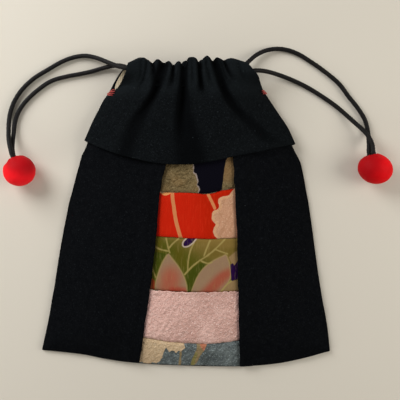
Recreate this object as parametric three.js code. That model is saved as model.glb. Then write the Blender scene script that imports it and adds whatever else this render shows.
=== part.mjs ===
// Kinchaku drawstring pouch, lying flat on its back.
// Millimetres, +Z up. Z = 0 is the table, +X is the pouch's right as you look
// down on its front, +Y runs from the bottom seam to the mouth.
import * as THREE from 'three';

// ---------------------------------------------------------------- dimensions
const CLOTH = 1.2;          // outer cloth, one layer with its interlining
const LINING = 0.6;         // lining cloth
const GAP = 0.3;            // air between two layers
const SEAM_EDGE = 2.7;      // height of the sewn edge: back cloth, gap, front cloth
const LAP_LIFT = 1.5;       // how far the side panels ride up over the patchwork
const PATCH_TUCK = 5;       // how far the patches run in under the side panels
const PATCH_GAP = 0.35;     // seam line between two patches
const LINING_INSET = 0.044; // lining stops this fraction of the width from the side seams
const HEM_RISE = 1.8;       // back cloth steps over the hem of the back mouth cloth
const CHANNEL_WALL = 1.6;   // gathered cloth outside the front cord channel
const BACK_WALL = 1.0;      // the same at the back, pressed flat on the table
const CHANNEL_INNER = 0.8;  // cloth between channel and mouth
const CHANNEL_HALF_H = 4.0; // channel, half height along Y (3.6 at its ends)
const CHANNEL_HALF_T = 2.2; // channel, half thickness along Z
const LANE = 1.75;          // the two cords lie this far each side of the channel centre
const CORD_R = 1.5;         // 3 mm braided cord
const CORD_SIDES = 8;
const BALL_R = 10;          // cloth-covered ball
const BORE_R = 3.7;         // pocket in the ball that holds both cord ends
const BORE_DEPTH = 7.5;
const MOUTH_TOP = 18.6;     // top of the front gathers at the channel

// ---------------------------------------------------------------- outlines
// Rows up the body: 0 is the bottom seam, 1 the hem of the mouth cloth, and the
// patch seams lie on the rows between.
const ROWS = [0, 0.12, 0.36, 0.625, 0.856, 1, 1.07];
const LEFT = [[-92.1, -88.0], [-88.6, -71.9], [-82.9, -39.8], [-76.9, -4.3], [-69.3, 26.7], [-64.4, 45.9], [-62.3, 55.0]];
const STRIP_L = [[-30.3, -96.4], [-27.6, -79.3], [-22.7, -48.2], [-18.8, -14.4], [-16.4, 13.5], [-12.8, 30.5], [-11.3, 38.6]];
const STRIP_R = [[35.1, -98.2], [34.4, -81.2], [33.6, -49.9], [32.7, -15.5], [31.3, 15.7], [30.0, 35.5], [29.2, 44.3]];
const RIGHT = [[92.2, -88.8], [90.4, -72.9], [85.0, -41.0], [80.0, -5.9], [75.0, 24.7], [69.5, 43.9], [65.6, 53.7]];
const COL_L = 0.34, COL_R = 0.69;   // where the patchwork strip starts and ends across the front
const CROWN_ROWS = [0, 0.2, 0.36, 0.625, 0.856, 1, 1.07];
const CROWN = [10.5, 11.0, 11.8, 12.8, 13.4, 14.0, 14.2]; // height of the filled-out front on its middle line

// Mouth cloth: hem, two side edges from the hem to the top, and the gathered top.
const HEM = [[-65.0, 46.7], [-53.9, 41.7], [-38.9, 36.4], [-15.7, 31.5], [3.0, 31.2], [16.6, 33.0], [30.4, 36.0], [48.4, 39.6], [61.1, 42.7], [70.2, 44.5]];
const SIDE_L = [[-65.0, 46.7], [-60.5, 56.9], [-56.5, 65.5], [-50.8, 75.5], [-42.9, 80.6], [-38.1, 85.6], [-36.3, 89.6], [-35.6, 94.6]];
const SIDE_R = [[70.2, 44.5], [65.4, 54.9], [58.9, 65.0], [52.3, 75.0], [48.4, 80.9], [45.1, 86.0], [41.6, 90.2], [38.2, 94.6]];
const SIDE_V = [0, 0.2, 0.385, 0.6, 0.72, 0.82, 0.905, 1];
const BACK_L = [[-65.0, 46.7], [-60.5, 56.9], [-56.5, 65.5], [-51.2, 75.5], [-48.4, 80.6], [-45.9, 85.6], [-43.2, 90.0], [-40.0, 94.6]];
const BACK_R = [[70.2, 44.5], [65.4, 54.9], [59.1, 65.0], [52.6, 75.0], [48.2, 80.9], [43.6, 86.0], [39.4, 90.2], [35.9, 94.6]];
const TOP = [[-35.6, 94.6], [-27.0, 97.9], [-20.7, 94.6], [-17.8, 96.7], [-13.2, 95.0], [-10.4, 95.9], [-7.5, 93.0], [-4.1, 95.7], [-0.7, 92.4], [1.5, 97.6], [6.8, 97.4], [8.6, 94.4], [13.2, 99.0], [17.0, 96.3], [19.5, 98.0], [23.9, 96.4], [28.9, 97.3], [36.2, 95.3], [38.2, 94.6]];

// Gathers: where each valley meets the top edge and the hem (fractions of the
// width), how wide and deep it is, and how far down from the top it runs.
const VALLEYS = [
  { top: 0.200, low: 0.200, width: 0.020, depth: 1.2, reach: 0.25 },
  { top: 0.294, low: 0.215, width: 0.026, depth: 2.0, reach: 0.85 },
  { top: 0.385, low: 0.375, width: 0.018, depth: 1.1, reach: 0.20 },
  { top: 0.470, low: 0.475, width: 0.028, depth: 2.0, reach: 1.30 },
  { top: 0.600, low: 0.610, width: 0.018, depth: 1.1, reach: 0.30 },
  { top: 0.705, low: 0.850, width: 0.026, depth: 2.0, reach: 0.80 },
  { top: 0.800, low: 0.860, width: 0.018, depth: 1.0, reach: 0.18 },
];

// ---------------------------------------------------------------- curves
const clamp = (x, a, b) => Math.min(b, Math.max(a, x));
const lerp = (a, b, t) => a + (b - a) * t;
const step = (a, b, x) => { const t = clamp((x - a) / (b - a), 0, 1); return t * t * (3 - 2 * t); };

function spline(ts, vs, t) {
  const n = ts.length;
  t = clamp(t, ts[0], ts[n - 1]);
  let i = 0;
  while (i < n - 2 && t > ts[i + 1]) i++;
  const slope = (k) => (k <= 0 ? (vs[1] - vs[0]) / (ts[1] - ts[0])
    : k >= n - 1 ? (vs[n - 1] - vs[n - 2]) / (ts[n - 1] - ts[n - 2])
      : (vs[k + 1] - vs[k - 1]) / (ts[k + 1] - ts[k - 1]));
  const h = ts[i + 1] - ts[i], s = (t - ts[i]) / h;
  const a = 2 * s ** 3 - 3 * s ** 2 + 1, b = s ** 3 - 2 * s ** 2 + s, c = -2 * s ** 3 + 3 * s ** 2, d = s ** 3 - s ** 2;
  return a * vs[i] + b * h * slope(i) + c * vs[i + 1] + d * h * slope(i + 1);
}
const at = (ts, pts, t) => [spline(ts, pts.map((p) => p[0]), t), spline(ts, pts.map((p) => p[1]), t)];
// A curve given by its points, read at a fraction of its width.
function across(pts, u) {
  const x0 = pts[0][0], x1 = pts[pts.length - 1][0], x = lerp(x0, x1, clamp(u, 0, 1));
  let i = 0;
  while (i < pts.length - 2 && x > pts[i + 1][0]) i++;
  return [x, lerp(pts[i][1], pts[i + 1][1], (x - pts[i][0]) / (pts[i + 1][0] - pts[i][0]))];
}

// ---------------------------------------------------------------- body surface
function bodyXY(c, t) {
  const l = at(ROWS, LEFT, t), a = at(ROWS, STRIP_L, t), b = at(ROWS, STRIP_R, t), r = at(ROWS, RIGHT, t);
  const x = c < COL_L ? lerp(l[0], a[0], c / COL_L) : c < COL_R ? lerp(a[0], b[0], (c - COL_L) / (COL_R - COL_L)) : lerp(b[0], r[0], (c - COL_R) / (1 - COL_R));
  return [x, spline([0, COL_L, COL_R, 1], [l[1], a[1], b[1], r[1]], c)];
}
const backRise = (t) => HEM_RISE * step(0.86, 0.965, t);
const puff = (s, p) => 1 - Math.abs(clamp(1 - s, 0, 1)) ** p;
function soften(f, g) {
  const a = Math.max(f, 1e-4), b = Math.max(g, 1e-4);
  return Math.min(1, 1.19 * (a ** -4 + b ** -4) ** -0.25);
}
// Top of the front's outer cloth, before the side panels' lap.
function front(c, t) {
  const edge = SEAM_EDGE + backRise(t);
  const side = puff(2 * Math.min(c, 1 - c), 3.2), bottom = puff(t / 0.45, 3);
  const crown = spline(CROWN_ROWS, CROWN, t);
  return edge + (crown - edge) * soften(side, bottom);
}

// ---------------------------------------------------------------- mouth cloth surface
function mouthXY(u, v, back) {
  const L = back ? BACK_L : SIDE_L, R = back ? BACK_R : SIDE_R;
  const h = across(HEM, u), tp = across(TOP, u), l = at(SIDE_V, L, v), r = at(SIDE_V, R, v);
  const l0 = L[0], l1 = L[L.length - 1], r0 = R[0], r1 = R[R.length - 1];
  const stretch = back ? lerp(l1[0] - TOP[0][0], r1[0] - TOP[TOP.length - 1][0], u) : 0;
  return [0, 1].map((k) => lerp(h[k], tp[k] + (k === 0 ? stretch : 0), v)
    + (1 - u) * (l[k] - lerp(l0[k], l1[k], v)) + u * (r[k] - lerp(r0[k], r1[k], v)));
}
function vAtY(u, y, back) {
  let a = 0, b = 1;
  for (let i = 0; i < 26; i++) { const m = (a + b) / 2; if (mouthXY(u, m, back)[1] < y) a = m; else b = m; }
  return (a + b) / 2;
}
function gather(u, v) {
  let w = 1.5;
  for (const g of VALLEYS) {
    const c = lerp(g.low, g.top, v);
    w -= g.depth * step(1 - g.reach, 1 - g.reach * 0.45, v) * Math.exp(-(((u - c) / g.width) ** 2));
  }
  return clamp(w, -0.5, 1.5) * step(0.05, 0.55, v);
}
const SIDE_HEIGHT_V = [0, 0.2, 0.33, 0.42, 0.62, 0.70, 0.76, 0.815, 0.87, 1];
const SIDE_HEIGHT = [6.1, 6.1, 4.6, 3.9, 3.9, 6.0, 11.0, 16.0, 18.0, 18.2];
// Top of the front mouth cloth without its gathers.
function mouthFront(u, v) {
  const edge = spline(SIDE_HEIGHT_V, SIDE_HEIGHT, v);
  const crown = spline([0, 0.3, 0.6, 0.85, 1], [17.4, 17.8, 18.2, MOUTH_TOP, MOUTH_TOP], v);
  return edge + (crown - edge) * Math.min(1, 1.02 * puff(2 * Math.min(u, 1 - u), 3.4));
}
const channelY = (u) => lerp(86.4, 89.9, Math.abs(2 * u - 1) ** 3);
const channelHalf = (u) => lerp(CHANNEL_HALF_H, 3.6, Math.abs(2 * u - 1) ** 3);
const FRONT_CHANNEL_Z = MOUTH_TOP - 0.4 - CHANNEL_WALL - CHANNEL_HALF_T;
const BACK_CHANNEL_Z = 0.2 + BACK_WALL + CHANNEL_HALF_T;

// The channel's inner wall runs between these two of the 44 strips, front and back.
const CUTS = [[10, 36], [12, 36]];

// ---------------------------------------------------------------- solids
function mesh(name, pos, idx, color, roughness) {
  const g = new THREE.BufferGeometry();
  g.setAttribute('position', new THREE.Float32BufferAttribute(pos, 3));
  g.setIndex(idx);
  let vol = 0;
  const P = (i) => [pos[3 * i], pos[3 * i + 1], pos[3 * i + 2]];
  for (let i = 0; i < idx.length; i += 3) {
    const [a, b, c] = [P(idx[i]), P(idx[i + 1]), P(idx[i + 2])];
    vol += a[0] * (b[1] * c[2] - b[2] * c[1]) - a[1] * (b[0] * c[2] - b[2] * c[0]) + a[2] * (b[0] * c[1] - b[1] * c[0]);
  }
  if (vol < 0) for (let i = 0; i < idx.length; i += 3) [idx[i], idx[i + 1]] = [idx[i + 1], idx[i]];
  g.setIndex(idx);
  g.computeVertexNormals();
  const m = new THREE.Mesh(g, new THREE.MeshStandardMaterial({ color, roughness, metalness: 0 }));
  m.name = name;
  return m;
}
// A cloth sheet: two skins and the edge between them. fn(i/nu, j/nv) gives
// [x, y, upper z, lower z].
function sheet(name, us, vs, fn, color, roughness) {
  const pos = [], idx = [], nu = us.length, nv = vs.length, n = nu * nv;
  for (const side of [0, 1]) for (const v of vs) for (const u of us) {
    const p = fn(u, v);
    pos.push(p[0], p[1], p[2 + side]);
  }
  const id = (i, j, s) => s * n + j * nu + i;
  for (let j = 0; j < nv - 1; j++) for (let i = 0; i < nu - 1; i++) {
    idx.push(id(i, j, 0), id(i + 1, j, 0), id(i + 1, j + 1, 0), id(i, j, 0), id(i + 1, j + 1, 0), id(i, j + 1, 0));
    idx.push(id(i, j, 1), id(i + 1, j + 1, 1), id(i + 1, j, 1), id(i, j, 1), id(i, j + 1, 1), id(i + 1, j + 1, 1));
  }
  const rim = [];
  for (let i = 0; i < nu; i++) rim.push([i, 0]);
  for (let j = 1; j < nv; j++) rim.push([nu - 1, j]);
  for (let i = nu - 2; i >= 0; i--) rim.push([i, nv - 1]);
  for (let j = nv - 2; j > 0; j--) rim.push([0, j]);
  rim.forEach(([i, j], k) => {
    const [i2, j2] = rim[(k + 1) % rim.length];
    idx.push(id(i, j, 0), id(i, j, 1), id(i2, j2, 0), id(i2, j2, 0), id(i, j, 1), id(i2, j2, 1));
  });
  return mesh(name, pos, idx, color, roughness);
}
const range = (a, b, n) => Array.from({ length: n + 1 }, (_, i) => lerp(a, b, i / n));
const eased = (a, b, n) => range(0, 1, n).map((s) => lerp(a, b, 0.5 - 0.5 * Math.cos(Math.PI * s)));

// Mouth cloth with the cord channel through its folded top.
function mouthCloth(name, back, color) {
  const us = range(0, 1, 44), upV = [0, 0.08, 0.17, 0.28, 0.4, 0.52, 0.62, 0.7];
  const pos = [], idx = [];
  const loops = us.map((u) => {
    const yt = across(TOP, u)[1], yc = channelY(u), hh = channelHalf(u);
    const zc = back ? BACK_CHANNEL_Z : FRONT_CHANNEL_Z;
    const s = back ? -1 : 1;                       // outward direction
    const outer = [], ring = [];
    const pt = (y, zz) => { const v = vAtY(u, y, back); return [mouthXY(u, v, back)[0], y, zz]; };
    // outward skin, hem to channel
    const skin = (v) => back
      ? 0.15 + Math.max(0, 1.5 * step(0.05, 0.55, v) - gather(u, v)) * 0.3
      : mouthFront(u, v) + gather(u, v);
    const under = (v) => back ? 0.15 + CLOTH + 0.5 * step(0.3, 0.6, v) : mouthFront(u, v) - CLOTH;
    for (const v of upV) { const p = mouthXY(u, v, back); outer.push([p[0], p[1], skin(v)]); }
    for (const y of [yc - hh, yc, yc + hh * 0.55]) outer.push(pt(y, skin(vAtY(u, y, back))));
    // fold over the top
    const zi = zc - s * (CHANNEL_HALF_T + CHANNEL_INNER);
    const zo = zc + s * (CHANNEL_HALF_T + (back ? BACK_WALL : CHANNEL_WALL) * 0.6);
    outer.push([...pt(yt - 1.0, 0).slice(0, 2), lerp(zc, zo, 0.8)]);
    outer.push([...pt(yt, 0).slice(0, 2), zc]);
    outer.push([...pt(yt - 1.0, 0).slice(0, 2), lerp(zc, zi, 0.75)]);
    // mouth side of the channel, then down the inside of the single layer
    outer.push(pt(yc + hh * 0.55, zi), pt(yc, zi), pt(yc - hh + 0.4, zi + s * 0.2));
    const vs = vAtY(u, yc - hh - 1.6, back);
    outer.push(pt(yc - hh - 1.6, lerp(zi, under(vs), 0.6)));
    for (const v of upV.slice(0, -1).reverse()) { const p = mouthXY(u, v, back); outer.push([p[0], p[1], under(v)]); }
    for (const [dy, dz] of [[1, 0], [0.94, 0.6], [0.7, 0.95], [0, 1], [-0.7, 0.95], [-0.94, 0.6], [-1, 0], [-0.94, -0.6], [-0.7, -0.95], [0, -1], [0.7, -0.95], [0.94, -0.6]]) {
      ring.push(pt(yc + dy * hh, zc + dz * CHANNEL_HALF_T));
    }
    return { outer, ring };
  });
  // Near both ends the inner wall of the channel is cut away, so that a cord can turn
  // from one channel into the other under the mouth cloth. There the section is one
  // open loop: the outer cloth only, back along the channel's outward half.
  const no = loops[0].outer.length, nr = loops[0].ring.length, per = no + nr;
  for (const l of loops) for (const p of [...l.outer, ...l.ring]) pos.push(...p);
  const FOLD = 12, JOINT = 17;                       // the fold's middle point and the stitched joint, in outer
  const away = back ? [0, 11, 10, 9, 8, 7, 6] : [0, 1, 2, 3, 4, 5, 6];      // ring's outward half, top to bottom
  const near = back ? [6, 5, 4, 3, 2, 1, 0] : [6, 7, 8, 9, 10, 11, 0];      // its inward half, bottom to top
  const cut = CUTS[back ? 1 : 0], last = loops.length - 1;
  const O = (i, k) => i * per + k, R = (i, k) => i * per + no + k;
  const whole = (i) => Array.from({ length: no }, (_, k) => O(i, k));
  const open = (i) => [...whole(i).slice(0, FOLD + 1), ...away.map((k) => R(i, k)), ...whole(i).slice(JOINT)];
  const flat = (i) => { const [x, y, z] = [pos[3 * i], pos[3 * i + 1], pos[3 * i + 2]]; return new THREE.Vector2(y, z); };
  const turn = (ids) => Math.sign(ids.reduce((t, a, k) => { const p = flat(a), q = flat(ids[(k + 1) % ids.length]); return t + p.x * q.y - q.x * p.y; }, 0));
  const wall = (A, B, way) => {
    for (let k = 0; k < A.length; k++) {
      const a = A[k], b = A[(k + 1) % A.length], c = B[k], d = B[(k + 1) % A.length];
      idx.push(...(way > 0 ? [a, b, d, a, d, c] : [a, d, b, a, c, d]));
    }
  };
  const lid = (ids, toward) => {
    const o = ids.map(flat);
    for (const f of THREE.ShapeUtils.triangulateShape(o, [])) {
      const [p0, p1, p2] = f.map((k) => o[k]), t = f.map((k) => ids[k]);
      const ccw = (p1.x - p0.x) * (p2.y - p0.y) - (p1.y - p0.y) * (p2.x - p0.x) > 0;
      idx.push(...(ccw === (toward > 0) ? t : [t[0], t[2], t[1]]));
    }
  };
  const outward = turn(whole(0));
  for (let i = 0; i < last; i++) {
    const inside = i >= cut[0] && i < cut[1];
    if (inside) {
      wall(whole(i), whole(i + 1), outward);
      const ring = (j) => Array.from({ length: nr }, (_, k) => R(j, k));
      wall(ring(i), ring(i + 1), -turn(ring(i)));
    } else wall(open(i), open(i + 1), turn(open(i)));
  }
  const stub = (i) => [...whole(i).slice(FOLD, JOINT + 1), ...near.map((k) => R(i, k))];
  lid(stub(cut[0]), -1);
  lid(stub(cut[1]), 1);
  lid(open(0), -1);
  lid(open(last), 1);
  return mesh(name, pos, idx, color, 0.95);
}

// A cord along a smooth curve through its points, with flat ends.
function cord(name, pts, color) {
  const curve = new THREE.CatmullRomCurve3(pts.map((p) => new THREE.Vector3(...p)), false, 'centripetal');
  curve.arcLengthDivisions = 1200;
  const n = 80, P = curve.getSpacedPoints(n);
  const frames = [];
  const T = new THREE.Vector3().subVectors(P[1], P[0]).normalize();
  let N = new THREE.Vector3(0, 0, 1).addScaledVector(T, -T.z).normalize();
  for (let i = 0; i <= n; i++) {
    const t = new THREE.Vector3().subVectors(P[Math.min(n, i + 1)], P[Math.max(0, i - 1)]).normalize();
    N = N.clone().addScaledVector(t, -N.dot(t)).normalize();
    frames.push([N, new THREE.Vector3().crossVectors(t, N)]);
  }
  const pos = [], idx = [];
  for (let i = 0; i <= n; i++) for (let k = 0; k < CORD_SIDES; k++) {
    const a = (2 * Math.PI * k) / CORD_SIDES, q = P[i].clone().addScaledVector(frames[i][0], CORD_R * Math.cos(a)).addScaledVector(frames[i][1], CORD_R * Math.sin(a));
    pos.push(q.x, q.y, q.z);
  }
  for (let i = 0; i < n; i++) for (let k = 0; k < CORD_SIDES; k++) {
    const a = i * CORD_SIDES + k, b = i * CORD_SIDES + (k + 1) % CORD_SIDES, c = a + CORD_SIDES, d = b + CORD_SIDES;
    idx.push(a, b, d, a, d, c);
  }
  for (let k = 1; k < CORD_SIDES - 1; k++) {
    idx.push(0, k + 1, k);
    const e = n * CORD_SIDES;
    idx.push(e, e + k, e + k + 1);
  }
  return mesh(name, pos, idx, color, 0.85);
}

// A cloth ball with the pocket its cord ends sit in.
function ball(name, centre, toward, squash, color) {
  const open = Math.asin(BORE_R / BALL_R), prof = [new THREE.Vector2(0, -BALL_R)];
  for (let i = 1; i <= 14; i++) {
    const a = -Math.PI / 2 + (Math.PI - open) * (i / 14);
    prof.push(new THREE.Vector2(BALL_R * Math.cos(a), BALL_R * Math.sin(a)));
  }
  const lip = prof[prof.length - 1].y;
  prof.push(new THREE.Vector2(BORE_R, lip - BORE_DEPTH * 0.5), new THREE.Vector2(BORE_R, lip - BORE_DEPTH), new THREE.Vector2(0, lip - BORE_DEPTH));
  const g = new THREE.LatheGeometry(prof, 28);
  g.applyQuaternion(new THREE.Quaternion().setFromUnitVectors(new THREE.Vector3(0, 1, 0), toward.clone().normalize()));
  g.scale(...squash);
  g.translate(...centre);
  const m = new THREE.Mesh(g, new THREE.MeshStandardMaterial({ color, roughness: 0.8, metalness: 0 }));
  m.name = name;
  return m;
}

// ---------------------------------------------------------------- assembly
const BLACK = 0x121315, group = new THREE.Group();
group.name = 'kinchaku_pouch';
const rows = [0, 0.02, 0.05, 0.09, 0.14, 0.22, 0.32, 0.44, 0.56, 0.68, 0.78, 0.86, 0.9, 0.93, 0.96, 1, 1.07];

// Side panels of the front: from the side seam to a folded edge that laps the patchwork.
function sidePanel(name, right) {
  return sheet(name, eased(0, 1, 14), rows, (s, t) => {
    const c = right ? lerp(1, COL_R, s) : lerp(0, COL_L, s);
    const [x, y] = bodyXY(c, t);
    const inner = bodyXY(right ? COL_R : COL_L, t)[0];
    const lift = LAP_LIFT * step(13, 6.5, Math.abs(x - inner));
    const h = front(c, t) + lift;
    return [x, y, h, h - CLOTH];
  }, BLACK, 0.95);
}
group.add(sidePanel('front_left_panel', false), sidePanel('front_right_panel', true));

// Five patches, bottom to top, each tucked in under both side panels.
const PATCHES = [
  ['patch_blue', 0, 0.12, 0x6b7f82], ['patch_pink', 0.12, 0.36, 0xd3a898], ['patch_green', 0.36, 0.625, 0x6a6a20],
  ['patch_red', 0.625, 0.856, 0xb62408], ['patch_khaki', 0.856, 1.07, 0x7a6d4a],
];
for (const [name, t0, t1, color] of PATCHES) {
  const half = PATCH_GAP / 2 / 133;   // 133 mm from bottom seam to hem
  const a = t0 === 0 ? 0 : t0 + half, b = t1 > 1 ? t1 : t1 - half;
  const n = t1 - t0 > 0.2 ? 7 : 6;
  group.add(sheet(name, range(0, 1, 12), range(a, b, n), (s, t) => {
    const l = bodyXY(COL_L, t)[0] - PATCH_TUCK, r = bodyXY(COL_R, t)[0] + PATCH_TUCK, x = lerp(l, r, s);
    // column whose x is this one
    let lo = 0, hi = 1;
    for (let i = 0; i < 30; i++) { const m = (lo + hi) / 2; if (bodyXY(m, t)[0] < x) lo = m; else hi = m; }
    const c = (lo + hi) / 2, p = bodyXY(c, t), h = front(c, t);
    return [p[0], p[1], h, h - CLOTH];
  }, color, 0.9));
}

// Back: one plain panel, flat on the table, stepping up over the hem of its mouth cloth.
group.add(sheet('back_panel', eased(0, 1, 20), rows, (c, t) => {
  const [x, y] = bodyXY(c, t), z = backRise(t);
  return [x, y, z + CLOTH, z];
}, BLACK, 0.95));

// Mouth cloths, front and back.
group.add(mouthCloth('front_yoke', false, 0x15171a), mouthCloth('back_yoke', true, 0x15171a));

// Linings: up the body, then on inside the mouth cloth to just under the channel.
function lining(name, back, color) {
  const body = [0.058, 0.1, 0.16, 0.26, 0.38, 0.52, 0.66, 0.8, 0.88, 0.94, 1, 1.06].map((t) => [0, t]);
  const neck = [0.24, 0.32, 0.42, 0.52, 0.60, 0.66].map((v) => [1, v]);
  const list = [...body, ...neck];
  return sheet(name, eased(0, 1, 22), list.map((_, i) => i), (s, i) => {
    const [up, t] = list[i];
    if (!up) {
      const c = lerp(LINING_INSET, 1 - LINING_INSET, s), [x, y] = bodyXY(c, t);
      if (back) { const z = backRise(t) + CLOTH + GAP; return [x, y, z + LINING, z]; }
      const h = front(c, t) - CLOTH - GAP - 0.6 * step(0.84, 0.95, t);
      return [x, y, h, h - LINING];
    }
    const inset = lerp(0.045, 0.075, step(0.2, 0.5, t)), u = lerp(inset, 1 - inset, s), [x, y] = mouthXY(u, t, false);
    if (back) { const z = backRise(1.07) + CLOTH + GAP + 0.1; return [x, y, z + LINING, z]; }
    const h = Math.min(mouthFront(u, t) - CLOTH - GAP, lerp(12.9, 12.4, step(0.2, 0.7, t)));
    return [x, y, h, h - LINING];
  }, color, 0.9);
}
group.add(lining('front_lining', false, 0xcdbb98), lining('back_lining', true, 0xcdbb98));

// Bar tacks that close the side seams just below the slits.
function tack(name, x, y, side) {
  const shape = new THREE.Shape();   // drawn in x-z: over the edge, down outside it
  shape.moveTo(0, 1.1); shape.lineTo(1.0, 1.1); shape.lineTo(1.0, 6.2); shape.lineTo(-1.9, 7.4); shape.lineTo(-1.9, 6.5); shape.lineTo(0, 5.6); shape.closePath();
  const g = new THREE.ExtrudeGeometry(shape, { depth: 1.7, bevelEnabled: false });
  g.rotateX(Math.PI / 2);
  if (side < 0) { g.rotateZ(Math.PI); }
  g.translate(x, y + (side < 0 ? -0.85 : 0.85), 0);
  const m = new THREE.Mesh(g, new THREE.MeshStandardMaterial({ color: 0xc85046, roughness: 0.7, metalness: 0 }));
  m.name = name;
  return m;
}
group.add(tack('left_bar_tack', -51.7, 76.6, -1), tack('right_bar_tack', 53.5, 76.4, 1));

// ---------------------------------------------------------------- drawstrings and balls
const ballL = [-105.8, 27.1, BALL_R], dirL = new THREE.Vector3(-0.38, 0.925, 0);
const ballR = [120.5, 28.4, BALL_R * 0.975], dirR = new THREE.Vector3(-0.24, 0.971, 0);
group.add(ball('left_ball', ballL, dirL, [1.02, 0.98, 1], 0xdc1e26), ball('right_ball', ballR, dirR, [1.11, 0.975, 0.975], 0xc8141e));

function lane(back, side, u) {
  const y = channelY(u) + side * LANE, v = vAtY(u, y, back);
  return [mouthXY(u, v, back)[0], y, back ? BACK_CHANNEL_Z : FRONT_CHANNEL_Z];
}
const through = (back, side, from, to) => range(from, to, 8).map((u) => lane(back, side, u));
function pocket(centre, dir, across_, up, depth) {
  const d = dir.clone().normalize(), p = new THREE.Vector3(d.y, -d.x, 0);
  return [centre[0] + d.x * depth + p.x * across_, centre[1] + d.y * depth + p.y * across_, centre[2] + up];
}
const inBall = (centre, dir, across_, up) => [3.4, 7, 11].map((depth) => pocket(centre, dir, across_, up, depth));
// Left drawstring: ball, out along the table, through the front channel, round the
// far end, back through the back channel, and home to the ball.
const leftPath = [
  ...inBall(ballL, dirL, 0, 1.6),
  [-111.4, 41.5, 10.4], [-112.9, 46.6, 8.0], [-113.9, 52.2, 5.2], [-114.3, 58.5, 3.0], [-113.6, 65.2, 1.9], [-110.9, 72.6, 1.8], [-106.0, 80.0, 1.8], [-98.6, 87.0, 1.8],
  [-88.6, 93.2, 1.9], [-79.6, 98.2, 2.0], [-71.8, 100.9, 2.1], [-64.8, 101.6, 2.6], [-57.6, 100.0, 4.1], [-50.4, 96.8, 6.9], [-43.6, 93.5, 11.4], [-38.4, 91.7, 14.2],
  ...through(false, 1, 0.06, 0.82),
  [32.75, 89.0, 13.66], [34.76, 88.5, 11.65], [35.5, 87.5, 8.9], [34.76, 86.7, 6.15], [32.75, 86.1, 4.14],
  ...through(true, -1, 0.84, 0.27),
  [-24.3, 85.1, 3.3], [-28.3, 86.5, 3.3], [-32.0, 88.9, 4.0], [-35.5, 91.6, 5.4], [-38.8, 93.7, 6.7], [-43.0, 94.7, 5.9], [-47.7, 94.8, 4.0], [-51.2, 94.2, 3.0], [-54.6, 93.4, 2.4], [-61.5, 91.5, 1.9], [-69.0, 89.9, 1.8], [-77.0, 88.4, 1.8], [-87.2, 85.4, 1.8], [-96.4, 79.2, 1.8],
  [-103.6, 72.4, 1.8], [-108.4, 65.4, 1.8], [-110.7, 58.4, 1.9], [-111.2, 52.0, 2.8], [-111.3, 46.6, 4.6], [-111.0, 41.8, 6.8],
  ...inBall(ballL, dirL, 0, -1.6).reverse(),
];
const rightPath = [
  ...inBall(ballR, dirR, -1.15, -1.05),
  [117.2, 42.8, 7.2], [117.6, 47.2, 4.6], [117.8, 51.4, 2.6], [117.2, 55.8, 1.8], [115.6, 60.8, 1.8], [110.7, 68.6, 1.8], [105.1, 75.6, 1.8], [99.4, 83.3, 1.8], [90.4, 91.1, 1.8],
  [80.5, 98.1, 1.8], [72.4, 103.0, 1.9], [65.0, 105.6, 2.0], [57.6, 106.1, 2.4], [50.6, 104.6, 2.9], [45.0, 101.6, 3.6], [39.4, 96.6, 4.8], [36.5, 93.8, 5.2], [33.4, 91.3, 4.5],
  ...through(true, 1, 0.86, 0.27),
  [-24.05, 88.3, 4.14], [-26.06, 87.7, 6.15], [-26.8, 86.9, 8.9], [-26.06, 86.1, 11.65], [-24.05, 85.4, 13.66],
  ...through(false, -1, 0.22, 0.86),
  [36.4, 87.2, 14.4], [39.6, 88.9, 14.2], [43.0, 90.0, 13.4], [48.0, 90.5, 10.7], [54.4, 90.0, 7.2], [61.6, 88.3, 4.4], [69.7, 85.5, 2.6], [78.4, 81.4, 1.9], [86.8, 76.3, 1.8], [96.5, 69.6, 1.8],
  [103.4, 63.6, 2.4], [108.6, 58.4, 4.2], [113.2, 53.6, 6.4], [116.6, 49.0, 8.4], [118.6, 43.8, 10.0],
  ...inBall(ballR, dirR, 1.15, 1.05).reverse(),
];
group.add(cord('left_drawstring', leftPath, 0x201d1c), cord('right_drawstring', rightPath, 0x201d1c));

export default group;
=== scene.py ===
"""Looks of the kinchaku drawstring pouch, lying flat on its back.

The curves below are in millimetres, in the shared frame: +Z up, table at z = 0,
+X the pouch's right as you look down on its front, +Y from the bottom seam to the mouth.
Meshes are made in metres. Every cloth is a shell with its own thickness and rolled edge.
"""
import math

import bpy
import numpy as np
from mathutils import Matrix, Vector


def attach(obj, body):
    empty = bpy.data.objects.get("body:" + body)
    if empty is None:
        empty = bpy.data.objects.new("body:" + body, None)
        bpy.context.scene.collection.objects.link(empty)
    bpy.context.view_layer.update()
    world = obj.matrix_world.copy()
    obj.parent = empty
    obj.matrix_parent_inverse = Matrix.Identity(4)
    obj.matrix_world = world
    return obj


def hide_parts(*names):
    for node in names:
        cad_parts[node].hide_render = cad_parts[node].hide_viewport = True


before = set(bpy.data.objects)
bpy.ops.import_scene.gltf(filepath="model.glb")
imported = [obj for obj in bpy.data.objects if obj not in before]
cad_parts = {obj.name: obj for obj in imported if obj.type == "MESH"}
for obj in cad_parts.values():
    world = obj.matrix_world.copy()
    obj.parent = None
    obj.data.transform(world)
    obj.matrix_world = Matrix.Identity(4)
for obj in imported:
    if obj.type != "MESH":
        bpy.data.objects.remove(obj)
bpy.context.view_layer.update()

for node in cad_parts.values():
    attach(node, "root")

MM = 0.001


# ---------------------------------------------------------------- numbers
def lerp(a, b, t):
    return a + (b - a) * t


def step(a, b, x):
    t = np.clip((np.asarray(x, float) - a) / (b - a), 0, 1)
    return t * t * (3 - 2 * t)


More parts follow.
